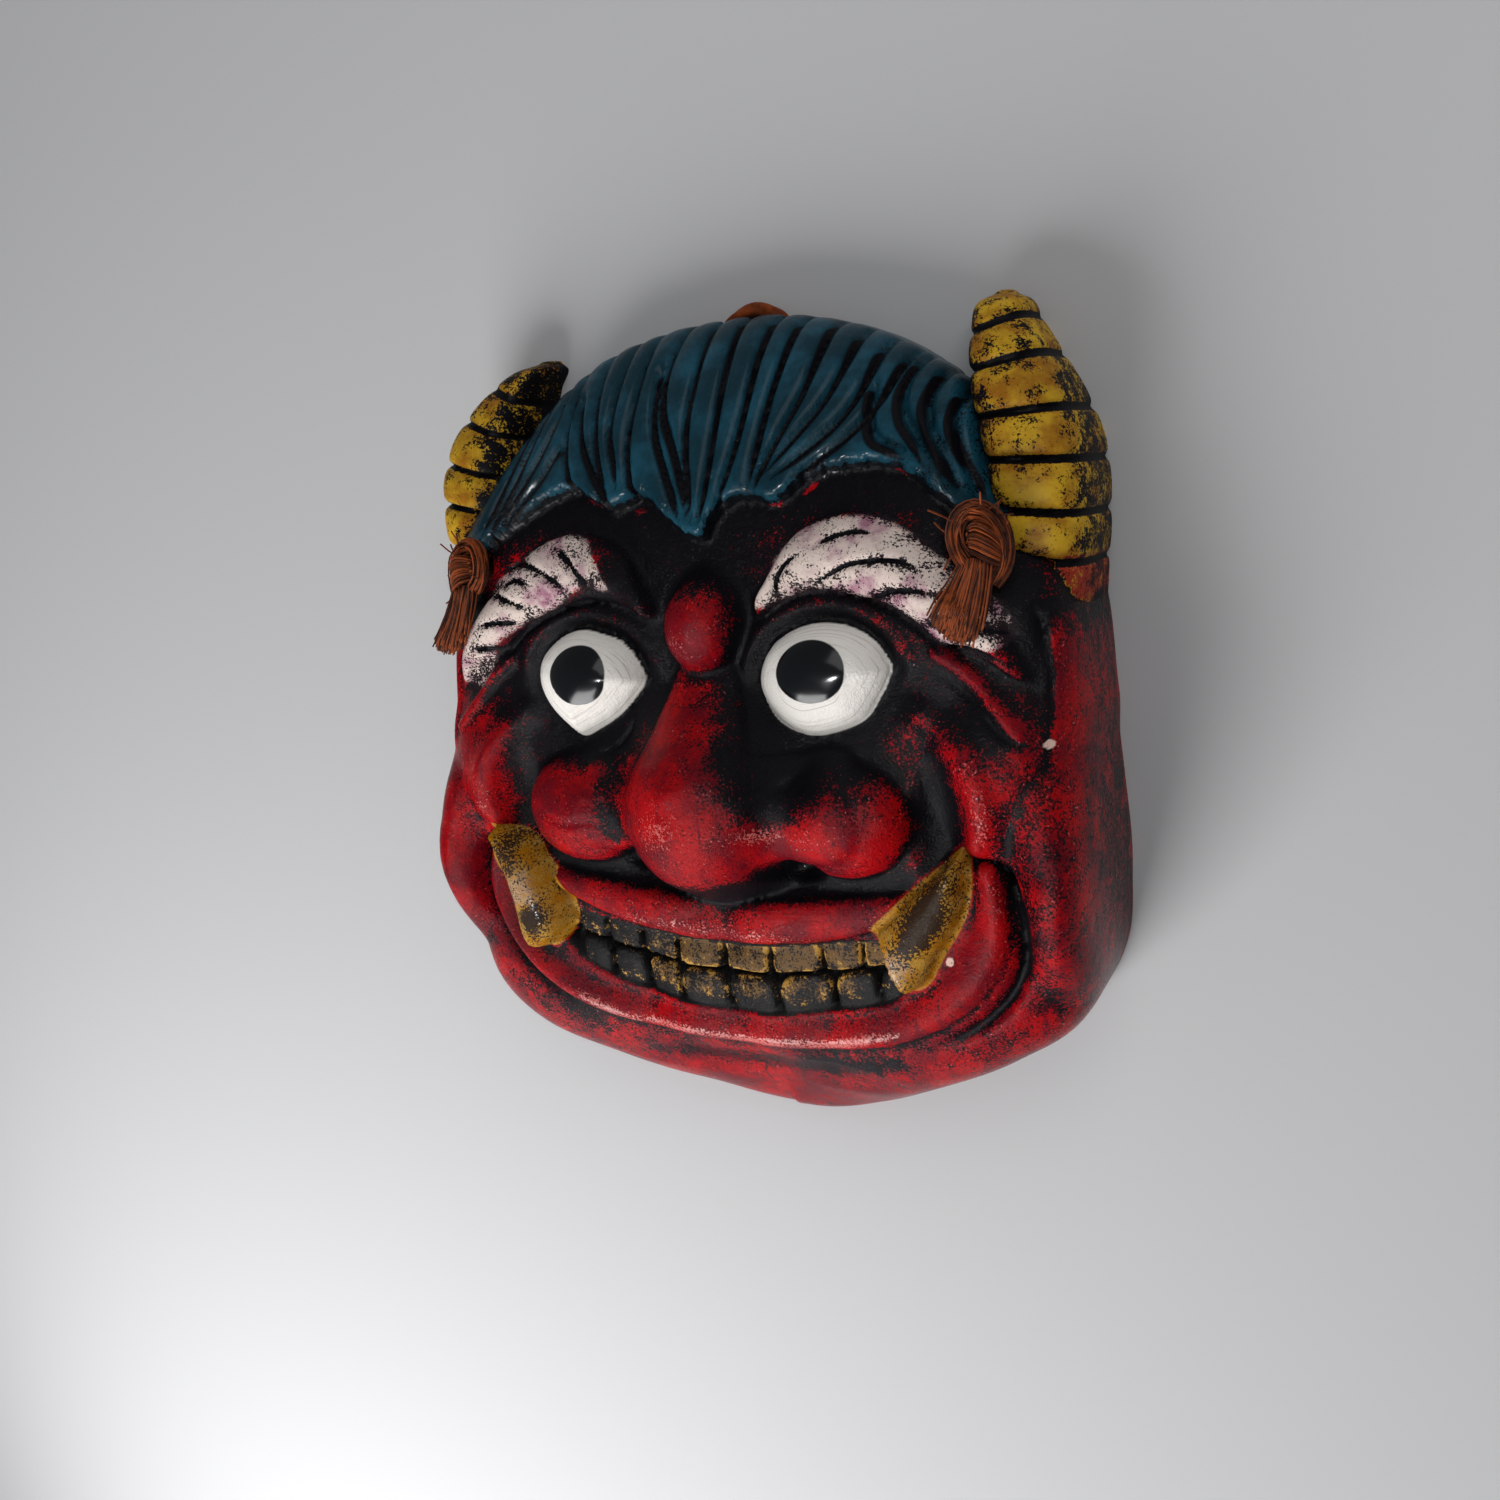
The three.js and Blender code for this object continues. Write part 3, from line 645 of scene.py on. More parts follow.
def fang_round(x, y):
    off = np.full(x.shape, FAR_OFF)
    for spine in FANG_SPINE.values():
        reach, share = line_reach(x, y, spine)
        off = np.minimum(off, reach / along(FANG_HALF, share))
    return off


def hair_reach(x, y, lock_cut):
    slope = along(FRINGE, x + 0.5) - along(FRINGE, x - 0.5)
    frayed = y - along(FRINGE, x) + FRAY * np.sin(1.7 * x) * np.sin(0.61 * x + 1)
    return frayed / np.sqrt(1 + slope * slope) - ridge(lock_cut, LOCK_NOTCH, LOCK_NOTCH_WIDTH)


def face_reach(x, y):
    reach = {
        "brow": np.maximum(inside_by(x, y, BROWS[1]), inside_by(x, y, BROWS[-1])),
        "fang": np.maximum(inside_by(x, y, FANGS[1]), inside_by(x, y, FANGS[-1])),
        "fang_round": fang_round(x, y),
        "mouth": inside_by(x, y, MOUTH),
        "brow_cut": nearest_cut(x, y, BROW_CUTS),
        "face_cut": nearest_cut(x, y, FACE_CUTS),
        "lock_cut": nearest_cut(x, y, LOCK_CUTS, open_start=True),
        "upper_tooth": tooth_edge(x, y, UPPER_GAPS, UPPER_TEETH),
        "lower_tooth": tooth_edge(x, y, LOWER_GAPS, LOWER_TEETH),
    }
    reach["hair"] = hair_reach(x, y, reach["lock_cut"])
    reach["eye"], reach["pupil"] = eye_reach(x, y)
    reach["upper_lip"], reach["lower_lip"] = lip_shapes(x, y)
    return reach


trial = face_reach(np.array([32.0]), np.array([0.0]))
print("right pupil is", round(float(trial["pupil"][0]), 1), "mm inside its edge")

# %% [markdown]
# ## Carving the face
# Broad forms come first, as a maker roughs out the clay: cheeks, jowls, sockets, the pad of the
# brow, the bridge of the nose and the folds of the cheeks. Each is a height that is added to the
# dome. They are written for one side of the face and used on both.

# %% Broad forms
SIDE_MOUNDS = {
    "cheek": ((74, -27), (19, 23), 6.5),
    "jowl": ((90, -52), (15, 32), 13),
    "socket": ((33.5, -2), (25, 20), -3),
    "beside_nose": ((60, -37), (9, 18), -5),
    "under_nose": ((0, -56), (48, 7), -3),
    "under_lip": ((0, -112), (46, 7), -2),
}
BROW_Y = [(14, 15), (23, 23), (32, 26), (42, 26), (52, 22.5), (62, 15), (72, 8), (82, -3)]
BROW_HALF = [(14, 3), (23, 7), (32, 8.5), (42, 9.7), (52, 9.3), (62, 9), (72, 7), (82, 2)]
BROW_RISE = 5.5
BRIDGE_HALF = [(-30, 18), (-16, 14), (-4, 10), (8, 6)]
BRIDGE_RISE = [(-30, 17), (-16, 12), (-4, 6), (8, 0)]
CHEEK_FOLD = [(57, -11), (62, -15), (67, -20.4), (70.6, -28), (71, -36), (68, -42.6)]
BROW_TAIL = [(61, 3), (68, -2), (74, -8.6), (79.4, -14.6)]
LIP_GROOVE = [(67, -44.6), (73.4, -47.4), (77.4, -55), (78, -66), (73.6, -79), (62.6, -90), (48, -98.4)]


def broad_forms(x, y):
    side = np.abs(x)
    form = np.zeros(x.shape)
    for place in SIDE_MOUNDS.values():
        form += mound(side, y, *place)
    off = np.clip((y - along(BROW_Y, side)) / along(BROW_HALF, side), -1, 1)
    ends = ease(13, 17, side) * ease(82, 74, side)
    form += BROW_RISE * (1 - off * off) ** 0.7 * ends
    bridge = np.sqrt(np.clip(1 - (side / along(BRIDGE_HALF, y)) ** 2, 0, 1))
    form += along(BRIDGE_RISE, y) * bridge * ease(-44, -20, y)
    form += ridge(line_reach(side, y, CHEEK_FOLD)[0], 2.4, 3.6)
    form += ridge(line_reach(side, y, BROW_TAIL)[0], 2.0, 1.7)
    off, share = line_reach(side, y, LIP_GROOVE)
    form -= ridge(off, 3.6, 1.9) * ease(1, 0.66, share)
    return form


cheek = broad_forms(np.array([74.0]), np.array([-27.0]))
print("cheek stands", round(float(cheek[0]), 1), "mm proud")

# %% [markdown]
# The nose is a ball with a wing on each side and a saddle of clay between, and a smaller ball
# sits between the brows. Spheres joined to the face would meet it in a hard seam. Here a ball is
# only a height as well, and the blend fills the corner around it.

# %% Nose and the ball between the brows
NOSE = ((0, -35.5, 52), (20.5, 20.5, 18.5))
NOSE_FLANK = 0.9
WINGS = {1: ((36.4, -36.4, 46), (15.6, 14.2, 12.5)), -1: ((-39, -36.5, 46), (18, 14.5, 12.5))}
WING_BLEND = 10
SADDLES = ((-28.5, 43), (-36.4, 49))
SADDLE_RADIUS_SQUARED = 90
SADDLE_EDGE = 9.4
SADDLE_BLEND = 8
LEFT_SADDLE_DROP = 3
FOREHEAD_BUMP = ((0, 10.4, 44.5), (9.8, 11.6, 10))
BUMP_FLANK = 0.94
BUMP_BLEND = 4
NOSTRIL = ((22, -49.6), (10, 4.6), 5)
LEFT_WING_CUT = [(49, -36), (41, -38.6), (31, -38), (26, -43)]


def set_nose(x, y, z):
    side = np.abs(x)
    for wing in WINGS.values():
        z = blend_up(z, ball_top(x, y, *wing), WING_BLEND)
    for level, height in SADDLES:
        off = line_reach(side, y, [(8, level), (20, level - 1), (34, level)])[0]
        top = np.where(x > 0, height, height - LEFT_SADDLE_DROP)
        top = top + np.sqrt(np.clip(SADDLE_RADIUS_SQUARED - off**2, 0, None))
        z = blend_up(z, top - 30 * np.clip(off - SADDLE_EDGE, 0, 1), SADDLE_BLEND)
    z = blend_up(z, ball_top(x, y, *NOSE, NOSE_FLANK), 7 + 10 * ease(-50, -24, y))
    z = blend_up(z, ball_top(x, y, *FOREHEAD_BUMP, BUMP_FLANK), BUMP_BLEND)
    z = z - mound(side, y, *NOSTRIL)
    return z - ridge(line_reach(-x, y, LEFT_WING_CUT)[0], 0.7, 1.1)


nose_top = NOSE[0][2] + NOSE[1][2]
print("nose stands", nose_top, "mm above the rim")

# %% [markdown]
# The mouth is sunk first. The teeth then stand up from its floor as pillows, and the lips are
# laid over its edge. The lower lip has its ridge a little outside its middle line: beyond the
# ridge it is round, and towards the teeth it falls off like a chamfer.

# %% Mouth
MOUTH_DEPTH = 5.4
TOOTH_DROP = 3.2
TOOTH_CROWN = 0.7
LIP_RISE = 3.2
LOWER_LIP_RISE = 3.8
LOWER_LIP_SINK = 0.8
LIP_RIDGE = 0.35
LIP_FLANK = 4
LIP_BLEND = 0.8


def set_mouth(z, dome, reach):
    mouth_floor = z - MOUTH_DEPTH * ease(-0.4, 2.6, reach["mouth"])
    z = np.where(reach["mouth"] > -1, np.minimum(z, mouth_floor), z)
    for edge, row in ((reach["upper_tooth"], UPPER_TEETH), (reach["lower_tooth"], LOWER_TEETH)):
        pillow = dome - row["sink"] - TOOTH_DROP * ease(0.88, 1.07, edge)
        pillow = pillow + TOOTH_CROWN * (1 - np.clip(edge, 0, 1) ** 2)
        z = np.where(edge < 1.1, np.maximum(z, pillow), z)
    off = reach["upper_lip"]
    lip = dome + LIP_RISE * np.sqrt(np.clip(1 - off * off, 0, 1)) - LIP_FLANK * np.clip(off - 1, 0, 2)
    z = np.where(off < 1.4, blend_up(z, lip, LIP_BLEND), z)
    off = reach["lower_lip"] - LIP_RIDGE
    off = np.where(off > 0, off / (1 - LIP_RIDGE), -off / (1 + LIP_RIDGE))
    outer_side = np.sqrt(np.clip(1 - off * off, 0, 1))
    roll = np.where(reach["lower_lip"] > LIP_RIDGE, outer_side, 1 - np.clip(off, 0, 1) ** 1.3)
    lip = dome + LOWER_LIP_RISE * roll - LOWER_LIP_SINK - LIP_FLANK * np.clip(off - 1, 0, 2)
    return np.where(off < 1.3, blend_up(z, lip, LIP_BLEND), z)


print("mouth is", MOUTH_DEPTH, "mm deep")

# %% [markdown]
# Fangs and eyes come last, because they lie over what is there. A fang is round about its spine
# and steep at its outline. An eye bulges quickly at its edge and is flat on top, with the pupil
# as a low button. One function then does all the steps in their order and cuts the lines.

# %% Fangs, eyes and the whole face
FANG_SINK = 2.4
FANG_EDGE = 1.8
FANG_RISE = 9.8
EYE_FOOT = 43
EYE_RISE = 10.6
EYE_ROUND = 13.5
PUPIL_RISE = 1.1
PUPIL_ROUND = 8
LID_OUT = 4.5
CHIN_PAD = ((0, -92), (27, 30), 7.5)


def set_fangs_and_eyes(z, dome, reach):
    round_off = np.sqrt(np.clip(1 - reach["fang_round"] ** 2, 0, 1))
    steep = ease(-0.4, 3.0, reach["fang"])
    fang = dome - FANG_SINK + steep * (FANG_EDGE + FANG_RISE * round_off**1.3)
    z = np.where(reach["fang"] > 0, np.maximum(z, fang), z)
    to_top = 1 - np.clip(reach["eye"] / EYE_ROUND, 0, 1)
    bulge = EYE_FOOT + EYE_RISE * np.sqrt(np.clip(1 - to_top**2.3, 0, 1))
    z = np.where(reach["eye"] > 0, np.maximum(z, bulge), z)
    return z + PUPIL_RISE * np.sqrt(np.clip(reach["pupil"] / PUPIL_ROUND, 0, 1))


def carve(x, y, dome, reach):
    dome = dome + mound(x, y, *CHIN_PAD)
    z = set_nose(x, y, dome + broad_forms(x, y))
    z = z + ridge(reach["eye"] + LID_OUT, 1.6, 2.2) * ease(-6, 4, y)
    z = set_mouth(z, dome, reach)
    z = set_fangs_and_eyes(z, dome, reach)
    return z - ridge(reach["brow_cut"], 1.3, 0.75) - ridge(reach["face_cut"], 1.2, 0.8)


print("eyes stand", EYE_FOOT + EYE_RISE + PUPIL_RISE, "mm above the rim")

# %% [markdown]
# The hair is a thick cap of clay, parted into locks by deep grooves. It is a thickness to be laid
# over the dome, not a height, because at the crown it has to grow outwards as well.

# %% Hair
HAIR_THICK = 4.6


def hair_thickness(reach):
    lip = ease(-0.6, 1.7, reach["hair"])
    strand = 0.6 - ridge(reach["lock_cut"], 0.6, 2.6)
    cut = ridge(reach["lock_cut"], 1.9, 0.9)
    return lip * (HAIR_THICK + strand - cut)


thickest = hair_thickness({"hair": 9.0, "lock_cut": 9.0})
print("hair is", round(float(thickest), 1), "mm thick")

# %% [markdown]
# The sheet is now pressed over the head with all its carving. The hair grows outwards from the
# dome, so that it also thickens the edge of the crown. Beside the right horn the clay is drawn
# back, and a low plate stands on each side of the head below the horns.

# %% Press the sheet over the head
WALL_FADE = 24
UPWARD = 5.6
HAIR_AT_RIM = 0.35
RIGHT_HORN_GAP = ((76, 42), (17, 30), 9)
PLATE_RISE = 1.2
PLATE_OUT = (82.6, 84.4)
PLATE_LOW = (-26, -14)
PLATE_HIGH = (12.4, 10.6)


def carved_height(x, y, dome, reach):
    return dome + (carve(x, y, dome, reach) - dome) * np.clip(dome / WALL_FADE, 0, 1)


def press(u, v):
    x, y, dome = spread(u, v, outer_walk)
    reach = face_reach(x, y)
    z = carved_height(x, y, dome, reach)
    out = np.stack([x, y - HEAD_CENTRE_Y, UPWARD * dome], axis=-1)
    out /= np.linalg.norm(out, axis=-1)[..., None] + 1e-9
    thick = hair_thickness(reach) * (HAIR_AT_RIM + (1 - HAIR_AT_RIM) * ease(0, 16, dome))
    thick -= mound(x, y, *RIGHT_HORN_GAP)
    plate = ease(*PLATE_OUT, np.abs(x)) * ease(*PLATE_LOW, y) * ease(*PLATE_HIGH, y)
    point = np.stack([x, y, np.where(reach["hair"] > 0.4, np.minimum(z, dome), z)], axis=-1)
    return point + out * (thick + PLATE_RISE * plate)[..., None]


print("at the rim the hair keeps", HAIR_AT_RIM, "of its thickness")

# %% [markdown]
# A sheet that is pressed over a head is stretched most where the head is steep, as at the sides
# of the nose. Its points are drawn towards those places in a few rounds, first on a coarse sheet
# and then on one twice as fine, so that the carving is as fine there as elsewhere. A Subdivision
# modifier would refine every place alike. The rim is closed by one flat face behind.

# %% Draw the sheet in
SHEET_COLUMNS = 264
SHEET_ROWS = 300
COARSE_DRAWS = 7
FINE_DRAWS = 1
DRAW_SHARE = 0.7
LEAST_PULL = 0.05
NEIGHBOURS = (
    (slice(0, -2), slice(1, -1)),
    (slice(2, None), slice(1, -1)),
    (slice(1, -1), slice(0, -2)),
    (slice(1, -1), slice(2, None)),
)


def draw_in(u, v, draws):
    for _ in range(draws):
        point = press(u, v)
        total = np.zeros((u.shape[0] - 2, u.shape[1] - 2))
        drawn_u = np.zeros_like(total)
        drawn_v = np.zeros_like(total)
        for near in NEIGHBOURS:
            pull = np.linalg.norm(point[near] - point[1:-1, 1:-1], axis=-1) + LEAST_PULL
            total += pull
            drawn_u += pull * u[near]
            drawn_v += pull * v[near]
        u[1:-1, 1:-1] += DRAW_SHARE * (drawn_u / total - u[1:-1, 1:-1])
        v[1:-1, 1:-1] += DRAW_SHARE * (drawn_v / total - v[1:-1, 1:-1])
    return u, v


def halve(coarse):
    fine = np.zeros((2 * coarse.shape[0] - 1, 2 * coarse.shape[1] - 1))
    fine[::2, ::2] = coarse
    fine[1::2, ::2] = (coarse[:-1] + coarse[1:]) / 2
    fine[:, 1::2] = (fine[:, :-2:2] + fine[:, 2::2]) / 2
    return fine


def place_grid(bm, columns, rows, positions):
    verts = bmesh.ops.create_grid(bm, x_segments=columns, y_segments=rows, size=1.0)["verts"]
    for vert in verts:
        column = round((vert.co.x + 1) / 2 * columns)
        row = round((vert.co.y + 1) / 2 * rows)
        vert.co = positions[row, column]


columns = np.linspace(-1, 1, SHEET_COLUMNS // 2 + 1)
rows = np.linspace(-1, 1, SHEET_ROWS // 2 + 1)
squares = draw_in(*np.meshgrid(columns, rows), COARSE_DRAWS)
squares = draw_in(halve(squares[0]), halve(squares[1]), FINE_DRAWS)
skin = press(*squares)
bm = bmesh.new()
place_grid(bm, SHEET_COLUMNS, SHEET_ROWS, to_scene(skin).reshape(skin.shape))
rim_edges = [edge for edge in bm.edges if edge.is_boundary]
bmesh.ops.holes_fill(bm, edges=rim_edges, sides=0)
bmesh.ops.recalc_face_normals(bm, faces=bm.faces[:])
mask = keep(bm, "mask_clay")

# %% [markdown]
# ## Horns
# The horns and the hollow are both pressed from a slab, a flat block with many squares on its
# front and its back. A function says where each point of front and back goes. Points that come
# to lie on each other, as at a pinched edge, are merged.

# %% Slabs of clay
def clay_slab(columns, rows):
    bm = bmesh.new()
    bmesh.ops.create_grid(bm, x_segments=columns, y_segments=rows, size=1.0)
    raised = bmesh.ops.extrude_face_region(bm, geom=bm.faces[:])["geom"]
    front = [item for item in raised if isinstance(item, bmesh.types.BMVert)]
    bmesh.ops.translate(bm, verts=front, vec=(0, 0, 1))
    return bm


def shape_slab(bm, place, name):
    sheet = np.array([vert.co for vert in bm.verts])
    points = to_scene(place(sheet[:, 0], sheet[:, 1], sheet[:, 2] > 0.5))
    for vert, point in zip(bm.verts, points):
        vert.co = point
    bmesh.ops.remove_doubles(bm, verts=bm.verts[:], dist=1e-6)
    bmesh.ops.recalc_face_normals(bm, faces=bm.faces[:])
    return keep(bm, name)


sample = clay_slab(2, 2)
print("a slab of 2 by 2 squares has", len(sample.verts), "points")
sample.free()

# %% [markdown]
# Each horn is a ridge of clay that stands on the rim beside the hair, cut by rings and ended by
# a small cap. It could be bent from a cone, but a horn that leans on the head is flat behind.
# So its slab's front takes the arch of the horn, and its back stays on the rim's plane.

# %% Horns
HORN_X = {
    1: [(7, 78.6), (30, 78.8), (45, 77.8), (56, 74.8), (66, 71.4), (76, 68.5), (84, 67.5)],
    -1: [(7, 78.6), (30, 79.9), (45, 80.4), (56, 80.5), (66, 79), (76, 74), (84, 67.5)],
}
HORN_FOOT = 7
HORN_TIP = 83.6
HORN_HALF = [(7, 10.4), (30, 11.7), (45, 12.2), (56, 11.9), (66, 10.2), (76, 7.5), (81, 5.8), (83.6, 2)]
HORN_RISE = [(7, 30), (30, 34), (45, 34), (56, 31), (66, 26), (76, 18.5), (81, 13), (83.6, 5)]
HORN_RINGS = [10.3, 21.5, 32.5, 44, 54.5, 66, 75]
RING_TILT = {
    1: [(7, 0.15), (30, 0.12), (45, 0.06), (56, -0.04), (66, -0.14), (76, -0.24), (84, -0.3)],
    -1: [(7, 0), (30, -0.15), (45, -0.26), (56, -0.32), (66, -0.38), (84, -0.4)],
}
RING_SWELL = 1.01
HORN_LEAN = 0.03
HORN_BOX = 0.6
HORN_STEPS = 110
HORN_ARCH = 26


def ring_reach(x, y, sign):
    off = np.abs(x) - along(HORN_X[sign], y)
    level = y + along(RING_TILT[sign], y) * off
    return np.min([np.abs(level - ring) for ring in HORN_RINGS], axis=0), off


def horn_place(sign):
    def place(u, v, front):
        y = HORN_FOOT + (u + 1) / 2 * (HORN_TIP - HORN_FOOT)
        turn = (v + 1) / 2 * math.pi
        centre = along(HORN_X[sign], y)
        off = -np.sign(np.cos(turn)) * np.abs(np.cos(turn)) ** HORN_BOX
        reach, _ = ring_reach(centre + along(HORN_HALF, y) * off, y, sign)
        cut = RING_SWELL - ridge(reach, 0.07, 0.9) - ridge(reach, 0.02, 2.4)
        lift = np.where(front, along(HORN_RISE, y) * cut * np.sin(turn) ** HORN_BOX, 0)
        x = centre + along(HORN_HALF, y) * cut * off + HORN_LEAN * lift
        return np.stack([sign * x, y, lift], axis=1)

    return place


horns = []
for sign in (-1, 1):
    slab = clay_slab(HORN_STEPS, HORN_ARCH)
    horns.append(shape_slab(slab, horn_place(sign), f"horn_{sign}"))

# %% [markdown]
# ## Hollow
# The inside follows the dome at the clay's thickness, with a deeper pocket behind the nose and
# the chin, and it stays clear of the sockets and the mouth. Two small holes at the temples let the
# cord through, and a low arch in the crown's rim leaves room for it. A Solidify modifier would
# copy every cut of the face inside, so the hollow is a plain shape of its own, which is cut from
# the clay after the horns are joined to it.

# %% Hollow, temple holes and the arch for the cord
WALL = 7
INNER_WALL_SHARE = 0.6
HOLLOW_STEPS = 40
BELOW_RIM = 12
NOSE_POCKET = ((0, -33), (21, 19), 14)
MOUTH_DENT = ((0, -80), (54, 16), -4.5)
SIDE_DENT = ((60, -37), (9, 18), -4)
HOLE_RADIUS = 3.4
HOLE_DEPTH = 60
HOLE_Z = 40
ARCH_RADIUS = 40
ARCH_DEPTH = 36
ARCH_TOP = 9
ARCH_Y = 78
CUTTER_SIDES = 64
inner_walk = section_tables(WALL, INNER_WALL_SHARE)


def hollow_place(u, v, front):
    x, y, rise = spread(u, v, inner_walk)
    side = np.abs(x)
    pocket = mound(x, y, *NOSE_POCKET) + mound(x, y, *CHIN_PAD)
    dent = mound(x, y, *MOUTH_DENT) + mound(side, y, *SIDE_MOUNDS["socket"])
    dent += mound(side, y, *SIDE_DENT)
    z = rise + (pocket + dent) * np.clip(rise / WALL_FADE, 0, 1)
    return np.stack([x, y, np.where(front, z, -BELOW_RIM)], axis=1)


def cutter(radius, depth, turn, at, name):
    bm = bmesh.new()
    bmesh.ops.create_cone(
        bm, segments=CUTTER_SIDES, radius1=radius, radius2=radius, depth=depth, cap_ends=True
    )
    bmesh.ops.rotate(bm, verts=bm.verts[:], matrix=Matrix.Rotation(turn, 3, "X"))
    for vert in bm.verts:
        vert.co = to_scene([vert.co.x + at[0], vert.co.y + at[1], vert.co.z + at[2]])[0]
    return keep(bm, name)


hole_x, hole_y, _ = CORD_HALF[0]
cuts = [
    shape_slab(clay_slab(HOLLOW_STEPS, HOLLOW_STEPS), hollow_place, "hollow"),
    cutter(HOLE_RADIUS, HOLE_DEPTH, 0, (hole_x, hole_y, HOLE_Z), "right_hole"),
    cutter(HOLE_RADIUS, HOLE_DEPTH, 0, (-hole_x, hole_y, HOLE_Z), "left_hole"),
    cutter(ARCH_RADIUS, ARCH_DEPTH, math.pi / 2, (0, ARCH_Y, ARCH_TOP - ARCH_RADIUS), "crown_arch"),
]

# %% [markdown]
# A Boolean modifier joins and cuts. Its Manifold solver is quick on large closed meshes. Every
# tool carries the same list of materials, so each face of the result still knows whether it
# was face, horn or hollow.

# %% Join the clay
FACE_PAINT, HORN_PAINT, BARE_CLAY = range(3)
SHARP_FROM = 62
paints = [bpy.data.materials.new(name) for name in ("painted_face", "painted_horn", "bare_clay")]


def give_paints(piece, index):
    for paint in paints:
        piece.data.materials.append(paint)
    piece.data.polygons.foreach_set("material_index", np.full(len(piece.data.polygons), index))


give_paints(mask, FACE_PAINT)
for horn in horns:
    give_paints(horn, HORN_PAINT)
for tool in cuts:
    give_paints(tool, BARE_CLAY)
for tool, how in [(horn, "UNION") for horn in horns] + [(tool, "DIFFERENCE") for tool in cuts]:
    joining = mask.modifiers.new(tool.name, "BOOLEAN")
    joining.operation = how
    joining.solver = "MANIFOLD"
    joining.material_mode = "INDEX"
    joining.object = tool
joined = bpy.data.meshes.new_from_object(mask.evaluated_get(bpy.context.evaluated_depsgraph_get()))
mask.modifiers.clear()
mask.data = joined
for tool in horns + cuts:
    bpy.data.objects.remove(tool)
joined.polygons.foreach_set("use_smooth", np.ones(len(joined.polygons), bool))
joined.set_sharp_from_angle(angle=math.radians(SHARP_FROM))
triangles = sum(len(face.vertices) - 2 for face in joined.polygons)
print("clay:", len(joined.vertices), "points,", triangles, "triangles")

# %% [markdown]
# ## Where the paint went
# The painter laid red on the clay, washed black over it and wiped the high places clean, then
# touched them with pale paint. To follow that we need to know which places are hollow and which
# stand proud. Smoothing the shape a little, and seeing which way each point moved, tells us.

# %% Hollows and ridges
SMOOTHING = 0.6
FINE_ROUNDS = 4
MIDDLE_ROUNDS = 24
BROAD_ROUNDS = 110


def points_of(mesh):
    flat = np.empty(len(mesh.vertices) * 3)
    mesh.vertices.foreach_get("co", flat)
    points = flat.reshape(-1, 3) / MILLIMETRE
    points[:, 1] -= PUPIL_LINE_Y
    mesh.vertices.foreach_get("normal", flat)
    return points, flat.reshape(-1, 3).copy()


def hollowness(mesh, points, normals, rounds):
    ends = np.empty(len(mesh.edges) * 2, int)
    mesh.edges.foreach_get("vertices", ends)
    one, two = ends.reshape(-1, 2).T
    count = np.bincount(ends, minlength=len(points))[:, None]
    smooth = points.copy()
    levels = {}
    for done in range(1, max(rounds) + 1):
        total = np.zeros_like(smooth)
        for axis in range(3):
            total[:, axis] = np.bincount(one, smooth[two, axis], len(points))
            total[:, axis] += np.bincount(two, smooth[one, axis], len(points))
        smooth = (1 - SMOOTHING) * smooth + SMOOTHING * total / count
        if done in rounds:
            levels[done] = np.einsum("ij,ij->i", smooth - points, normals)
    return [levels[done] for done in rounds]


points, normals = points_of(joined)
all_rounds = (FINE_ROUNDS, MIDDLE_ROUNDS, BROAD_ROUNDS)
fine, middle, broad = hollowness(joined, points, normals, all_rounds)
print("deepest fine hollow", round(float(fine.max()), 2), "mm")
print("sharpest fine ridge", round(float(-fine.min()), 2), "mm")
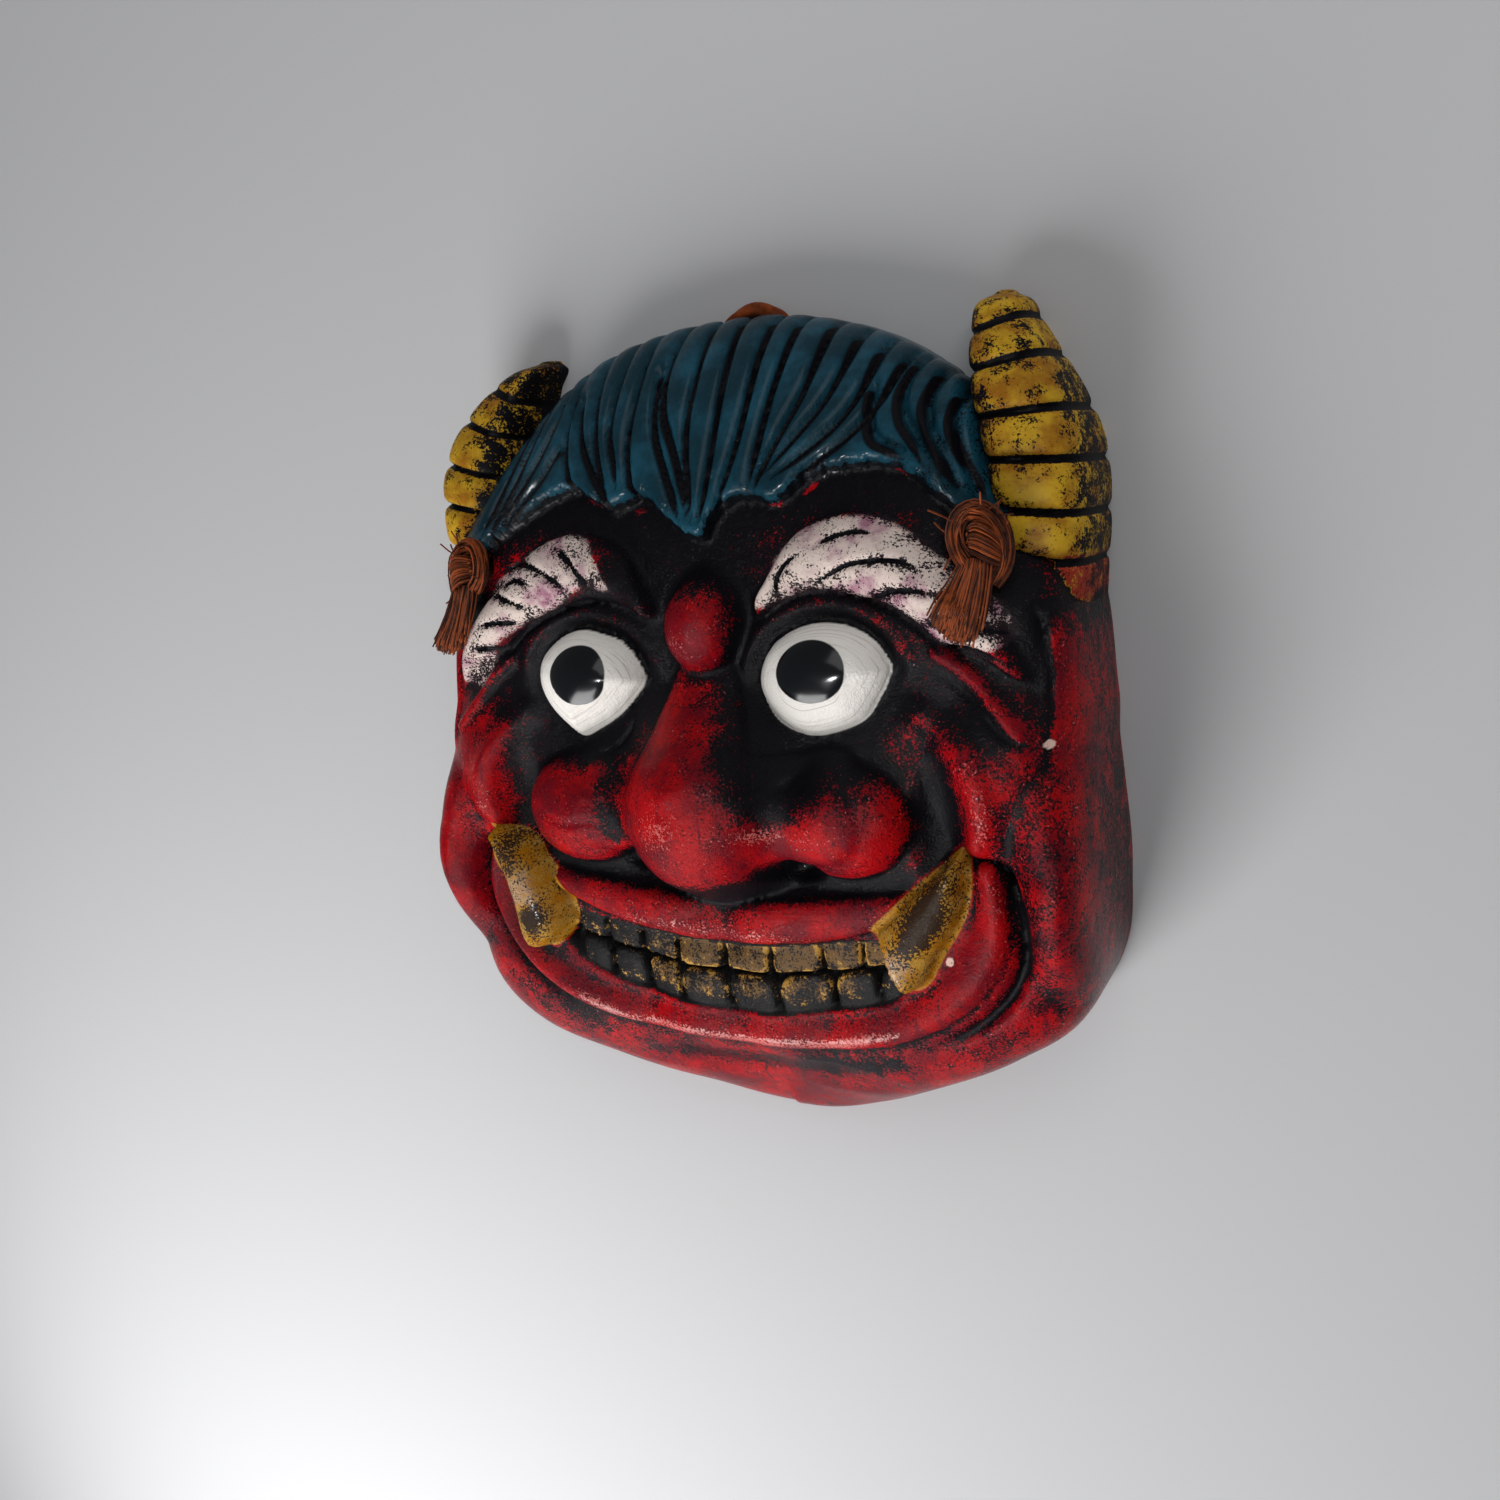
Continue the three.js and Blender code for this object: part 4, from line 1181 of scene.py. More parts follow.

# %% [markdown]
# Brush work is not ruled by the shape alone. The dabs below are where the painter left the wash standing or
# wiped it off, and some stand for light and shade instead: the wash dabs between brows and fringe are
# partly the fringe's painted shadow, those low on the right side walls are painted shade, and the wiped
# places on the left walls and on the cheeks are painted light. Each has a centre, how far it reaches each
# way, its turn in degrees and its strength.

# %% Dabs of wash, painted shade and painted light
# Wash dabs. Those between the brows and the fringe are partly its painted shadow; those low on the right
# side walls are painted shade.
WASH_AND_SHADE_DABS = [
    (-5, 25, 22, 13, 0, 0.9), (-34, 38, 24, 6, -8, 0.8), (40, 40, 24, 5, 0, 0.9), (8, 36, 8, 5, 0, 0.8),
    (12, 2, 7, 14, 0, 0.6), (-15, 4, 6, 14, 0, 0.6), (16, -21, 8, 12, 10, 0.8),
    (33, -22, 18, 5, 0, 0.6), (58, -36, 5, 15, 0, 0.9), (-40, -19, 16, 4, 0, 0.6),
    (-27, -36, 4, 9, 10, 0.7), (-58, -22, 6, 14, 0, 0.5), (-20, -54, 32, 4.5, 0, 0.9),
    (22, -54, 30, 4.5, 0, 0.9), (-61, -6, 10, 8, 0, 0.6), (60, -8, 13, 8, -25, 0.7),
    (72, -14, 6, 4, -40, 0.5), (81, -58, 4, 14, 0, 0.5), (30, -105, 18, 3.5, 8, 0.45),
    (-52, -99, 9, 5, -30, 0.5), (-66, -90, 8, 5, -40, 0.4), (68, -95, 9, 3, 38, 0.2),
    (82, 2, 3, 14, 0, 0.6), (88, 10, 4, 7, 0, 0.6), (-76, 2, 6, 14, 10, 0.4), (86, -80, 5, 5, 0, 0.3),
    (12, -110, 14, 3, 0, 0.3), (-20, -110, 20, 3, 0, 0.2), (-56, 60, 13, 22, 0, 0.5),
    (0, 86, 60, 7, 0, 0.5), (62, 52, 8, 18, 0, 0.7), (64, 16, 12, 9, -30, 0.45),
    (-68, 6, 9, 9, 0, 0.35), (-55, 22, 8, 6, 0, 0.2), (24, 20, 6, 6, 0, 0.3), (47, 17, 9, 3, 0, 0.3),
    (-20, 24, 7, 10, 0, 0.6), (57, 36, 10, 6, -25, 0.6), (67, 27, 8, 8, 0, 0.5), (77, 4, 7, 13, 0, 0.5),
    (25, -30, 9, 7, 0, 0.5), (86, -45, 5, 20, 0, 0.2), (24, -107, 14, 3, 4, 0.3),
    (42, -103, 7, 4, 20, 0.35), (88, -62, 6, 22, 0, 0.15), (84, -32, 5, 12, 0, 0.2),
    (-1, 17, 8, 3.4, 0, 0.25), (72, 14, 7, 9, 0, 0.6), (79, 9, 5, 8, 0, 0.5),
    (84, 11.6, 6, 1.6, 8, 0.7), (-24, 30, 5, 8, 0, 0.5), (-72, 20, 4, 10, -20, 0.4),
    (-30, 19.8, 6, 4, 0, 1.2), (80, 16, 8, 7, 0, 0.8), (38, -27.5, 13, 5, 0, 0.5),
    (70, -20, 8, 6, 0, 0.3), (77, -32, 9, 14, 0, 0.2), (90, -50, 6, 30, 0, 0.15),
]
# Wiped places. Those on the left side walls and on the cheeks are painted light; those along the fringe
# show red.
WIPED_AND_LIT_DABS = [
    (-3, -36, 14, 14, 0, 0.6), (-5, -13, 6, 10, 10, 0.6), (-43, -34, 11, 8, 0, 0.55),
    (38, -41, 12, 7, 0, 0.35), (-1, 11, 8, 8.4, 0, 0.95), (74, -30, 6, 12, 10, 0.2),
    (-73, -28, 8, 16, 0, 0.4), (0, -122, 40, 8, 0, 0.45), (-30, -120, 22, 8, 15, 0.35),
    (50, -104, 14, 6, 20, 0.3), (-80, -60, 10, 20, 0, 0.3), (-88, -30, 6, 20, 0, 0.2),
    (-33.7, 42.8, 3.6, 1.2, -20, 2.4), (-20, 39.6, 2.4, 1.2, 0, 2.2), (20, 38.6, 3.4, 1.2, 0, 2.4),
    (27.5, 41.6, 4.4, 1.2, 28, 2.4), (22, -41, 8, 5.6, 0, 0.9), (51.7, 43.8, 3.4, 1.1, -12, 2.4),
    (63, -68, 4, 9, -28, 0.8),
]
print(len(WASH_AND_SHADE_DABS), "dabs of wash,", len(WIPED_AND_LIT_DABS), "wiped places")

# %% [markdown]
# Pale touches lie on the nose, the cheeks, the lips and a few tips of the fringe. On the face they are
# mostly painted highlights, and on the fringe they are pale grey specks that are partly painted highlight.
# The fangs have dabs of their own, for smoke and for tan, and the tan is partly a painted highlight. The
# chips in the paint are round, so a centre and a radius are enough for them.

# %% Dabs of pale paint and painted highlights, worn fangs and chips
# Pale dabs: mostly painted highlights on the nose, its wings, the ball between the brows, the cheeks and
# the lips; those on the fringe give pale grey specks that are partly painted highlight.
PALE_AND_HIGHLIGHT_DABS = [
    (-4, -35, 6, 6, 0, 0.9), (18.5, -37.6, 6, 2.4, 0, 0.9), (31, -38, 5, 2.4, 0, 0.5),
    (-3, 7, 4, 3.4, 0, 0.6), (71.4, -33, 2.4, 8, 0, 0.7), (68, -22, 3, 4, 0, 0.4),
    (-72, -34, 3.4, 9, 0, 0.6), (-42, -38, 9, 2, 5, 0.4), (-14, -66.6, 22, 2, -3, 0.6),
    (14, -68, 14, 1.8, 2, 0.5), (-16, -97.6, 20, 1.6, -4, 1.3), (14, -97.8, 16, 1.6, 3, 1.5),
    (36, -94, 12, 1.6, 18, 1.5), (-42, -94, 10, 1.8, -22, 1.3), (-3, 28, 6, 3, 0, 0.25),
    (72, -56, 1.6, 8, 0, 0.3), (-32.1, 44.3, 1.8, 1.2, -20, 1.2), (-23.6, 41.2, 1.4, 1.4, 0, 1.1),
    (-16.8, 45.4, 1, 2.6, 10, 1.1), (-10.1, 41, 1.2, 1.8, 0, 1.1), (3.1, 47.3, 0.8, 2.4, 0, 1),
    (33.3, 44.8, 3, 0.9, 10, 1), (56, 43.6, 1.8, 1, -30, 1),
]
FANG_SMOKE = [
    (56.4, -58.6, 4.4, 10, -32, 1.2), (61, -50, 3, 5, -35, 0.5), (-56.6, -67.4, 4, 4.4, 0, 1.2),
    (-64, -50, 4, 7, 20, 0.6), (-66, -64, 2.4, 6, 20, 0.5),
]
# Tan on the fangs, partly a painted highlight on their rounded middles.
FANG_TAN_AND_HIGHLIGHT = [(50.4, -69, 4.5, 6, -30, 1), (-60, -59, 5, 8, 25, 1)]
CHIPS = [(60.4, -70.4, 1.15), (85.2, -17.8, 1.1)]
print(len(PALE_AND_HIGHLIGHT_DABS), "pale dabs,", len(FANG_SMOKE) + len(FANG_TAN_AND_HIGHLIGHT), "on fangs,", len(CHIPS), "chips")

# %% [markdown]
# Thin wash runs off what stands out and stays in what lies deep. So it answers to the hollows of each size,
# with a strength and with limits to what it answers to, and then come the dabs, some of which are painted
# shade and painted light. The pale on the fine ridges is partly dry-brushed pale paint and partly a painted
# highlight, and the pale dabs are mostly painted highlights.

# %% Wash, pale paint and painted highlights on the face
WASH_EVERYWHERE = 0.34
HOLLOW_WASH = ((fine, 0.7, -0.3, 1), (middle, 0.4, -0.5, 1.5), (broad, 0.14, -1.5, 3))
PALE_SHARE = 0.8
PALE_LESS = 0.22


def dabbed(x, y, dabs):
    amount = np.zeros(x.shape)
    for cx, cy, half_x, half_y, turn, strength in dabs:
        c, s = math.cos(math.radians(turn)), math.sin(math.radians(turn))
        across = ((x - cx) * c + (y - cy) * s) / half_x
        up = ((y - cy) * c - (x - cx) * s) / half_y
        amount += strength * np.exp(-(across**2 + up**2) ** 1.5)
    return amount


x, y, z = points.T
# The wash field holds black wash, and also painted shade below the fringe and on the right side walls, and
# painted light where wiped on the left.
wash_and_shade = np.full(x.shape, WASH_EVERYWHERE)
for hollow, strength, low, high in HOLLOW_WASH:
    wash_and_shade += strength * np.clip(hollow, low, high)
wash_and_shade += dabbed(x, y, WASH_AND_SHADE_DABS) - dabbed(x, y, WIPED_AND_LIT_DABS)
# The pale field: painted highlights from the dabs, and pale on the fine ridges that is partly a painted
# highlight.
pale_and_highlight = PALE_SHARE * dabbed(x, y, PALE_AND_HIGHLIGHT_DABS) - 0.5 * np.clip(fine + 0.12, -0.8, 0.1) - PALE_LESS
print("wash from", round(float(wash_and_shade.min()), 2), "to", round(float(wash_and_shade.max()), 2))

# %% [markdown]
# The wash also gathers along edges: around the eyes, in the mouth, in the cut lines and low on the sides.
# Below the fringe it is black wash and the painted shadow of the fringe's overhang together. The lips were
# wiped. Many layers of wash are hardly darker than a few, so what lies above a limit is pressed together.

# %% Wash and painted shade along the carved edges
EYE_WASH = (0.95, -13, -1)
LOW_SIDE_WASH = (0.12, 20, 8)
# Below the fringe: black wash together with the painted shadow of its overhang.
FRINGE_WASH_AND_SHADE = (0.9, -9, -0.5)
MOUTH_WASH = (0.8, -0.5, 2)
CUT_WASH = (0.9, 1.3)
LIP_WIPED = 0.24
LIP_HALF = 0.85
WASH_LIMIT = 0.85
ABOVE_LIMIT = 0.42


def gathered(strength, none, full, distance):
    return strength * ease(none, full, distance)


reach = face_reach(x, y)
wash_and_shade += np.where(reach["eye"] < 0, gathered(*EYE_WASH, reach["eye"]), 0)
wash_and_shade += gathered(*LOW_SIDE_WASH, z)
# Painted shadow of the fringe, added to the wash below it.
wash_and_shade += gathered(*FRINGE_WASH_AND_SHADE, reach["hair"]) * (reach["hair"] < 0.3)
wash_and_shade += gathered(*MOUTH_WASH, reach["mouth"])
wash_and_shade += ridge(reach["face_cut"], *CUT_WASH)
wash_and_shade -= LIP_WIPED * (np.minimum(reach["upper_lip"], np.abs(reach["lower_lip"])) < LIP_HALF)
wash_and_shade = np.where(wash_and_shade > WASH_LIMIT, WASH_LIMIT + ABOVE_LIMIT * (wash_and_shade - WASH_LIMIT), wash_and_shade)
print("with edges up to", round(float(wash_and_shade.max()), 2))

# %% [markdown]
# Teeth, fangs and horns are worn in their own ways. The same two numbers hold that: the wash is the black
# on them, and the pale is the gilt left on the teeth, the tan of the fangs, which is partly a painted
# highlight, and the red at the foot of the horns. The tooth number has no use outside the mouth, so it
# marks the two small chips in the paint there.

# %% Wear of teeth, fangs and horns, and painted highlights on the fangs
OUTSIDE_MOUTH = 3

in_mouth = (reach["mouth"] > 0.3) & (reach["fang"] < 0)
level = y - SMILE * x * x
upper_shine = 0.25 + 0.75 * ease(-36, -6, x)
lower_shine = 0.7 * ease(-90, -83, level) * ease(-36, -18, x) * ease(48, 30, x)
shine = np.where(reach["upper_tooth"] < reach["lower_tooth"], upper_shine, lower_shine)
pale_and_highlight = np.where(in_mouth, shine, pale_and_highlight)
chip = np.max([size - np.hypot(x - cx, y - cy) for cx, cy, size in CHIPS], axis=0)
nearest_tooth = np.minimum(reach["upper_tooth"], reach["lower_tooth"])
tooth = np.where(in_mouth, nearest_tooth, OUTSIDE_MOUTH + ease(-0.4, 0.5, chip))
in_fang = reach["fang"] > -0.6
wash_and_shade = np.where(in_fang, dabbed(x, y, FANG_SMOKE), wash_and_shade)
pale_and_highlight = np.where(in_fang, dabbed(x, y, FANG_TAN_AND_HIGHLIGHT), pale_and_highlight)
left_ring, right_ring = ring_reach(x, y, -1), ring_reach(x, y, 1)
ring = np.where(x < 0, left_ring[0], right_ring[0])
off = np.where(x < 0, left_ring[1], right_ring[1])
horn_wash = 0.18 + 0.2 * ease(52, 74, y)
horn_wash += 0.55 * ease(-2, -9, off) * ease(26, 40, y)
horn_wash += 0.35 * ease(74, 80, y) * (x < 0)
horn_wash += 0.5 * ease(9.5, 12, off) + 0.5 * ease(14, 10, y)
horn_red = ease(24.5, 20, y)
print(int(in_mouth.sum()), "points in the mouth,", int(in_fang.sum()), "on the fangs")

# %% [markdown]
# The masks and the distances to the carved forms are stored on the mesh, three to an attribute.
# A picture could be painted for it instead, but it would blur near by. A material can turn a
# distance into a crisp painted edge, which stays sharp between the mesh's points because a
# distance changes evenly from one to the next.

# %% Store the masks on the mesh
def store(mesh, name, columns):
    layer = mesh.attributes.new(name, "FLOAT_VECTOR", "POINT")
    layer.data.foreach_set("vector", np.stack(columns, axis=1).astype(np.float32).ravel())


face_points = np.zeros(len(points), bool)
for face in joined.polygons:
    if face.material_index == FACE_PAINT:
        face_points[list(face.vertices)] = True
face_groove = np.where(reach["hair"] > 0, reach["lock_cut"], reach["brow_cut"])
groove = np.where(face_points, face_groove, ring)
wash_and_shade = np.where(face_points, wash_and_shade, horn_wash)
pale_and_highlight = np.where(face_points, pale_and_highlight, horn_red)
store(joined, "wash_and_shade", (wash_and_shade, pale_and_highlight, groove))
store(joined, "forms", (reach["hair"], reach["brow"], reach["eye"]))
store(joined, "details", (reach["pupil"], reach["fang"], tooth))
print("masks on", len(points), "points,", int(face_points.sum()), "of them on the face")

# %% [markdown]
# ## Paint
# A short helper adds one node, sets or links its inputs and gives its output back, so that a
# material reads as a list of steps. Colours are written as a painter's mix in 0 to 255 and
# turned to the linear light that Blender works in.

# %% Helpers for materials
def pigment(red, green, blue):
    linear = []
    for part in (red, green, blue):
        part = part / 255
        linear.append(part / 12.92 if part <= 0.04045 else ((part + 0.055) / 1.055) ** 2.4)
    return (*linear, 1.0)


def feed(tree, node, inputs):
    for name, value in inputs.items():
        if isinstance(value, bpy.types.NodeSocket):
            tree.links.new(value, node.inputs[name])
        else:
            node.inputs[name].default_value = value


def add(tree, kind, inputs=None, output=0, **settings):
    node = tree.nodes.new(kind)
    for name, value in settings.items():
        setattr(node, name, value)
    feed(tree, node, inputs or {})
    return node.outputs[output]


def plus(tree, a, b):
    return add(tree, "ShaderNodeMath", {0: a, 1: b}, operation="ADD")


def less(tree, a, b):
    return add(tree, "ShaderNodeMath", {0: a, 1: b}, operation="SUBTRACT")


def times(tree, a, b):
    return add(tree, "ShaderNodeMath", {0: a, 1: b}, operation="MULTIPLY")


def times_plus(tree, a, b, c):
    return add(tree, "ShaderNodeMath", {0: a, 1: b, 2: c}, operation="MULTIPLY_ADD")


def step(tree, value, low, high):
    inputs = {"Value": value, "From Min": low, "From Max": high}
    return add(tree, "ShaderNodeMapRange", inputs, interpolation_type="SMOOTHSTEP")


def over(tree, amount, below, above):
    return add(tree, "ShaderNodeMix", {0: amount, 6: below, 7: above}, output=2, data_type="RGBA")


def object_place(tree):
    return add(tree, "ShaderNodeTexCoord", output="Object")


def parts_of(tree, name):
    vector = add(tree, "ShaderNodeAttribute", output="Vector", attribute_name=name)
    split = tree.nodes.new("ShaderNodeSeparateXYZ")
    tree.links.new(vector, split.inputs[0])
    return split.outputs


print("a painter's red is", tuple(round(value, 3) for value in pigment(178, 22, 24)))

# %% [markdown]
# Two effects come back in the paints. Speckle breaks a mask into grains and blotches, as a
# stippled brush does: it adds noise to the mask and keeps what lies above a half. Brush marks are
# long thin streaks, made by stretching a noise. Each is a node group with its own inputs, built
# once and placed wherever it is needed.

# %% Speckle and brush marks
GRAIN_SCALE = 1600
BLOTCH_SCALE = 210


def new_group(name, inputs, outputs):
    group = bpy.data.node_groups.new(name, "ShaderNodeTree")
    for label, value in inputs:
        socket = group.interface.new_socket(label, in_out="INPUT", socket_type="NodeSocketFloat")
        socket.default_value = value
    for label in outputs:
        group.interface.new_socket(label, in_out="OUTPUT", socket_type="NodeSocketFloat")
    return group, group.nodes.new("NodeGroupInput").outputs, group.nodes.new("NodeGroupOutput").inputs


def noise(tree, place, scale, detail=3.0, rough=0.6):
    inputs = {"Vector": place, "Scale": scale, "Detail": detail, "Roughness": rough}
    return add(tree, "ShaderNodeTexNoise", inputs)


speckle_inputs = [("Mask", 0.5), ("Grain", 2.5), ("Blotch", 1.2)]
speckle, given, result = new_group("speckle", speckle_inputs, ["Cover", "Grain"])
where = object_place(speckle)
grain = noise(speckle, where, GRAIN_SCALE, 3, 0.7)
blotch = noise(speckle, where, BLOTCH_SCALE, 5, 0.7)
shifted = times_plus(speckle, less(speckle, grain, 0.5), given["Grain"], given["Mask"])
shifted = times_plus(speckle, less(speckle, blotch, 0.5), given["Blotch"], shifted)
speckle.links.new(step(speckle, shifted, 0.42, 0.58), result["Cover"])
speckle.links.new(grain, result["Grain"])

streaks, given, result = new_group("brush_marks", [("Across", 900.0), ("Along", 60.0)], ["Marks"])
where = object_place(streaks)
size = add(streaks, "ShaderNodeCombineXYZ", {0: given["Across"], 1: given["Along"], 2: given["Along"]})
stretched = add(streaks, "ShaderNodeVectorMath", {0: where, 1: size}, operation="MULTIPLY")
streaks.links.new(noise(streaks, stretched, 1.0, 3, 0.6), result["Marks"])


def use_group(tree, group, inputs, output=0):
    node = tree.nodes.new("ShaderNodeGroup")
    node.node_tree = group
    feed(tree, node, inputs)
    return node.outputs[output]


def speckled(tree, mask, grain, blotch):
    return use_group(tree, speckle, {"Mask": mask, "Grain": grain, "Blotch": blotch})


print("groups:", speckle.name, streaks.name)

# %% [markdown]
# The face paint is built up in the painter's order: a red ground with streaks of wine red, pale touches
# that are mostly painted highlights, a dark glaze, fine black dust and the black wash. Glaze, dust and wash
# follow the wash field, so they also lay the painted shade below the fringe and on the right side walls.
# Flat colours under one mask would look printed, so each layer is broken by speckle of its own size. The
# plain reflection is kept low, because at the face's sloping sides it would turn the reds milky.

# %% Red ground under a black wash and painted shade
PLAIN_REFLECTION = 0.05
INK = pigment(14, 13, 17)
DEEP_RED = pigment(108, 9, 21)
BRIGHT_RED = pigment(172, 10, 15)
WINE_RED = pigment(98, 11, 28)
PALE_PINK_AND_HIGHLIGHT = pigment(220, 128, 120)
DARK_GLAZE = pigment(58, 8, 18)
CHIPPED = pigment(222, 188, 174)


def start_paint(material, roughness):
    material.use_nodes = True
    tree = material.node_tree
    tree.nodes.clear()
    shader = tree.nodes.new("ShaderNodeBsdfPrincipled")
    surface = tree.nodes.new("ShaderNodeOutputMaterial")
    tree.links.new(shader.outputs[0], surface.inputs[0])
    shader.inputs["Roughness"].default_value = roughness
    shader.inputs["Specular IOR Level"].default_value = PLAIN_REFLECTION
    return tree, shader


tree, shader = start_paint(paints[FACE_PAINT], 0.42)
where = object_place(tree)
wash_and_shade_in, pale_and_highlight_in, groove_in = parts_of(tree, "wash_and_shade")
hair_in, brow_in, eye_in = parts_of(tree, "forms")
pupil_in, fang_in, tooth_in = parts_of(tree, "details")

patches = noise(tree, where, 70, 4, 0.6)
marks = use_group(tree, streaks, {"Across": 700.0, "Along": 70.0})
ground = over(tree, step(tree, patches, 0.35, 0.65), DEEP_RED, BRIGHT_RED)
ground = over(tree, step(tree, marks, 0.5, 0.8), ground, WINE_RED)
# Pale pink: painted highlights from the dabs, and pale specks on the fine ridges that are partly painted
# highlight.
pale_and_highlight_cover = speckled(tree, times(tree, pale_and_highlight_in, 0.75), -3.6, 1.2)
ground = over(tree, times(tree, pale_and_highlight_cover, 0.55), ground, PALE_PINK_AND_HIGHLIGHT)
glaze = speckled(tree, plus(tree, wash_and_shade_in, 0.2), 2.0, 2.4)
ground = over(tree, times(tree, glaze, 0.6), ground, DARK_GLAZE)
dust = speckled(tree, times_plus(tree, wash_and_shade_in, 0.3, 0.26), 4.0, 1.0)
ground = over(tree, times(tree, dust, 0.75), ground, INK)
# Black wash, which also lays the painted shade below the fringe and on the right side walls.
wash_and_shade_cover = speckled(tree, wash_and_shade_in, 3.0, 1.9)
face_colour = over(tree, wash_and_shade_cover, ground, INK)
face_colour = over(tree, step(tree, tooth_in, 3.3, 3.7), face_colour, CHIPPED)
print("ground and wash:", len(tree.nodes), "nodes")

# %% [markdown]
# The brows are bone white with mauve in it, smoked along the knife cuts and black within them, and their
# tops take the painted shade under the fringe from the wash.
# The eyes are white, with fine grey rounds that the brush left along their edge: the noise that
# makes them is stretched by the distance to that edge. The pupils are plain black.

# %% Brows and eyes
BONE_WHITE = pigment(222, 204, 194)
MAUVE = pigment(164, 112, 132)
BROW_SMOKE_AND_SHADE = pigment(38, 28, 32)
EYE_WHITE = pigment(240, 235, 228)
EYE_GREY = pigment(198, 190, 182)
PUPIL_BLACK = pigment(9, 11, 15)

brow_cover = speckled(tree, step(tree, brow_in, -1.6, 2.6), 2.4, 1.0)
mauve_cover = step(tree, noise(tree, where, 110, 3), 0.44, 0.7)
brow_paint = over(tree, mauve_cover, BONE_WHITE, MAUVE)
near_cut = times_plus(tree, step(tree, groove_in, 3.0, 0.4), 0.26, 0.13)
# The brows' wash also carries the painted shade under the fringe at their tops.
brow_wash_and_shade = speckled(tree, times_plus(tree, wash_and_shade_in, 0.5, near_cut), 2.8, 2.4)
brow_paint = over(tree, brow_wash_and_shade, brow_paint, BROW_SMOKE_AND_SHADE)
strokes = speckled(tree, step(tree, groove_in, 1.0, 0.25), 1.4, 1.4)
brow_paint = over(tree, strokes, brow_paint, INK)
face_colour = over(tree, brow_cover, face_colour, brow_paint)

eye_cover = step(tree, eye_in, -0.15, 0.25)
rounds = add(tree, "ShaderNodeCombineXYZ", {0: times(tree, eye_in, 2.2)})
rounds = add(tree, "ShaderNodeVectorMath", {0: where, 1: (90, 90, 90), 2: rounds}, operation="MULTIPLY_ADD")
rounds = step(tree, noise(tree, rounds, 1.0, 4, 0.7), 0.52, 0.7)
eye_paint = over(tree, rounds, EYE_WHITE, EYE_GREY)
face_colour = over(tree, eye_cover, face_colour, eye_paint)
pupil_cover = step(tree, pupil_in, -0.1, 0.2)
face_colour = over(tree, pupil_cover, face_colour, PUPIL_BLACK)
print("with brows and eyes:", len(tree.nodes), "nodes")

# %% [markdown]
# The fangs are old gold, tan where it is worn thin and where a painted highlight lies on their rounded
# middles, and smoked black. The teeth are black, rubbed with bronze, and gilt only in a band along their
# edges, so the gilt has a mask of its own: near the edge of a tooth and on no gap.

# %% Fangs and teeth
OLD_GOLD = pigment(170, 112, 16)
DULL_GOLD = pigment(184, 142, 62)
FANG_TAN_AND_HIGHLIGHT_PAINT = pigment(182, 146, 110)
FANG_BLACK = pigment(30, 25, 26)
TOOTH_BLACK = pigment(26, 25, 26)
BRONZE = pigment(104, 78, 46)
GILT = pigment(182, 138, 66)

fang_paint = over(tree, step(tree, noise(tree, where, 260, 4), 0.35, 0.7), OLD_GOLD, DULL_GOLD)
# Tan on the fangs, partly a painted highlight.
tan_and_highlight_cover = speckled(tree, times(tree, pale_and_highlight_in, 0.75), 2.6, 1.6)
fang_paint = over(tree, tan_and_highlight_cover, fang_paint, FANG_TAN_AND_HIGHLIGHT_PAINT)
smoke = speckled(tree, times_plus(tree, wash_and_shade_in, 0.85, 0.22), 3.4, 1.6)
fang_paint = over(tree, times(tree, smoke, 0.95), fang_paint, FANG_BLACK)
face_colour = over(tree, step(tree, fang_in, -0.1, 0.5), face_colour, fang_paint)

on_tooth = step(tree, tooth_in, 1.0, 0.9)
bronze = speckled(tree, times(tree, pale_and_highlight_in, 0.62), 2.2, 2.6)
teeth = over(tree, times(tree, on_tooth, bronze), TOOTH_BLACK, BRONZE)
band = times(tree, step(tree, tooth_in, 0.66, 0.9), on_tooth)
band = times(tree, band, times(tree, pale_and_highlight_in, 0.6))
gilt_cover = speckled(tree, band, 1.4, 3.4)
teeth = over(tree, times(tree, gilt_cover, on_tooth), teeth, GILT)
face_colour = over(tree, step(tree, tooth_in, 2.8, 2.3), face_colour, teeth)
print("with fangs and teeth:", len(tree.nodes), "nodes")

# %% [markdown]
# The hair is a deep blue-green in two strengths, with pale grey specks at a few places along the fringe
# that are partly painted highlight, painted shade along its lower edge where the fringe overhangs, and
# black in the grooves between the locks. It is laid on last, so its edge covers the wash below it.

# %% Hair paint
HAIR_DEEP = pigment(10, 46, 58)
HAIR_BLUE = pigment(26, 76, 94)
HAIR_GREY_AND_HIGHLIGHT = pigment(150, 160, 162)
HAIR_WASH_AND_SHADE = pigment(10, 14, 18)

hair_paint = over(tree, step(tree, patches, 0.4, 0.7), HAIR_DEEP, HAIR_BLUE)
# Pale grey specks along the fringe, partly painted highlight.
hair_specks_and_highlight = speckled(tree, times_plus(tree, pale_and_highlight_in, 0.9, -0.35), -3.0, 1.6)
hair_paint = over(tree, times(tree, hair_specks_and_highlight, 0.7), hair_paint, HAIR_GREY_AND_HIGHLIGHT)
# Painted shade along the fringe's lower edge and underside.
hair_edge_shade = times(tree, step(tree, hair_in, 2.4, 0.4), 0.75)
hair_wash_and_shade = speckled(tree, times_plus(tree, wash_and_shade_in, 0.36, hair_edge_shade), 1.8, 1.6)
hair_paint = over(tree, hair_wash_and_shade, hair_paint, HAIR_WASH_AND_SHADE)
hair_paint = over(tree, step(tree, groove_in, 1.2, 0.6), hair_paint, INK)
hair_cover = step(tree, hair_in, -0.1, 0.5)
face_colour = over(tree, hair_cover, face_colour, hair_paint)
tree.links.new(face_colour, shader.inputs["Base Color"])
print("with the hair:", len(tree.nodes), "nodes")

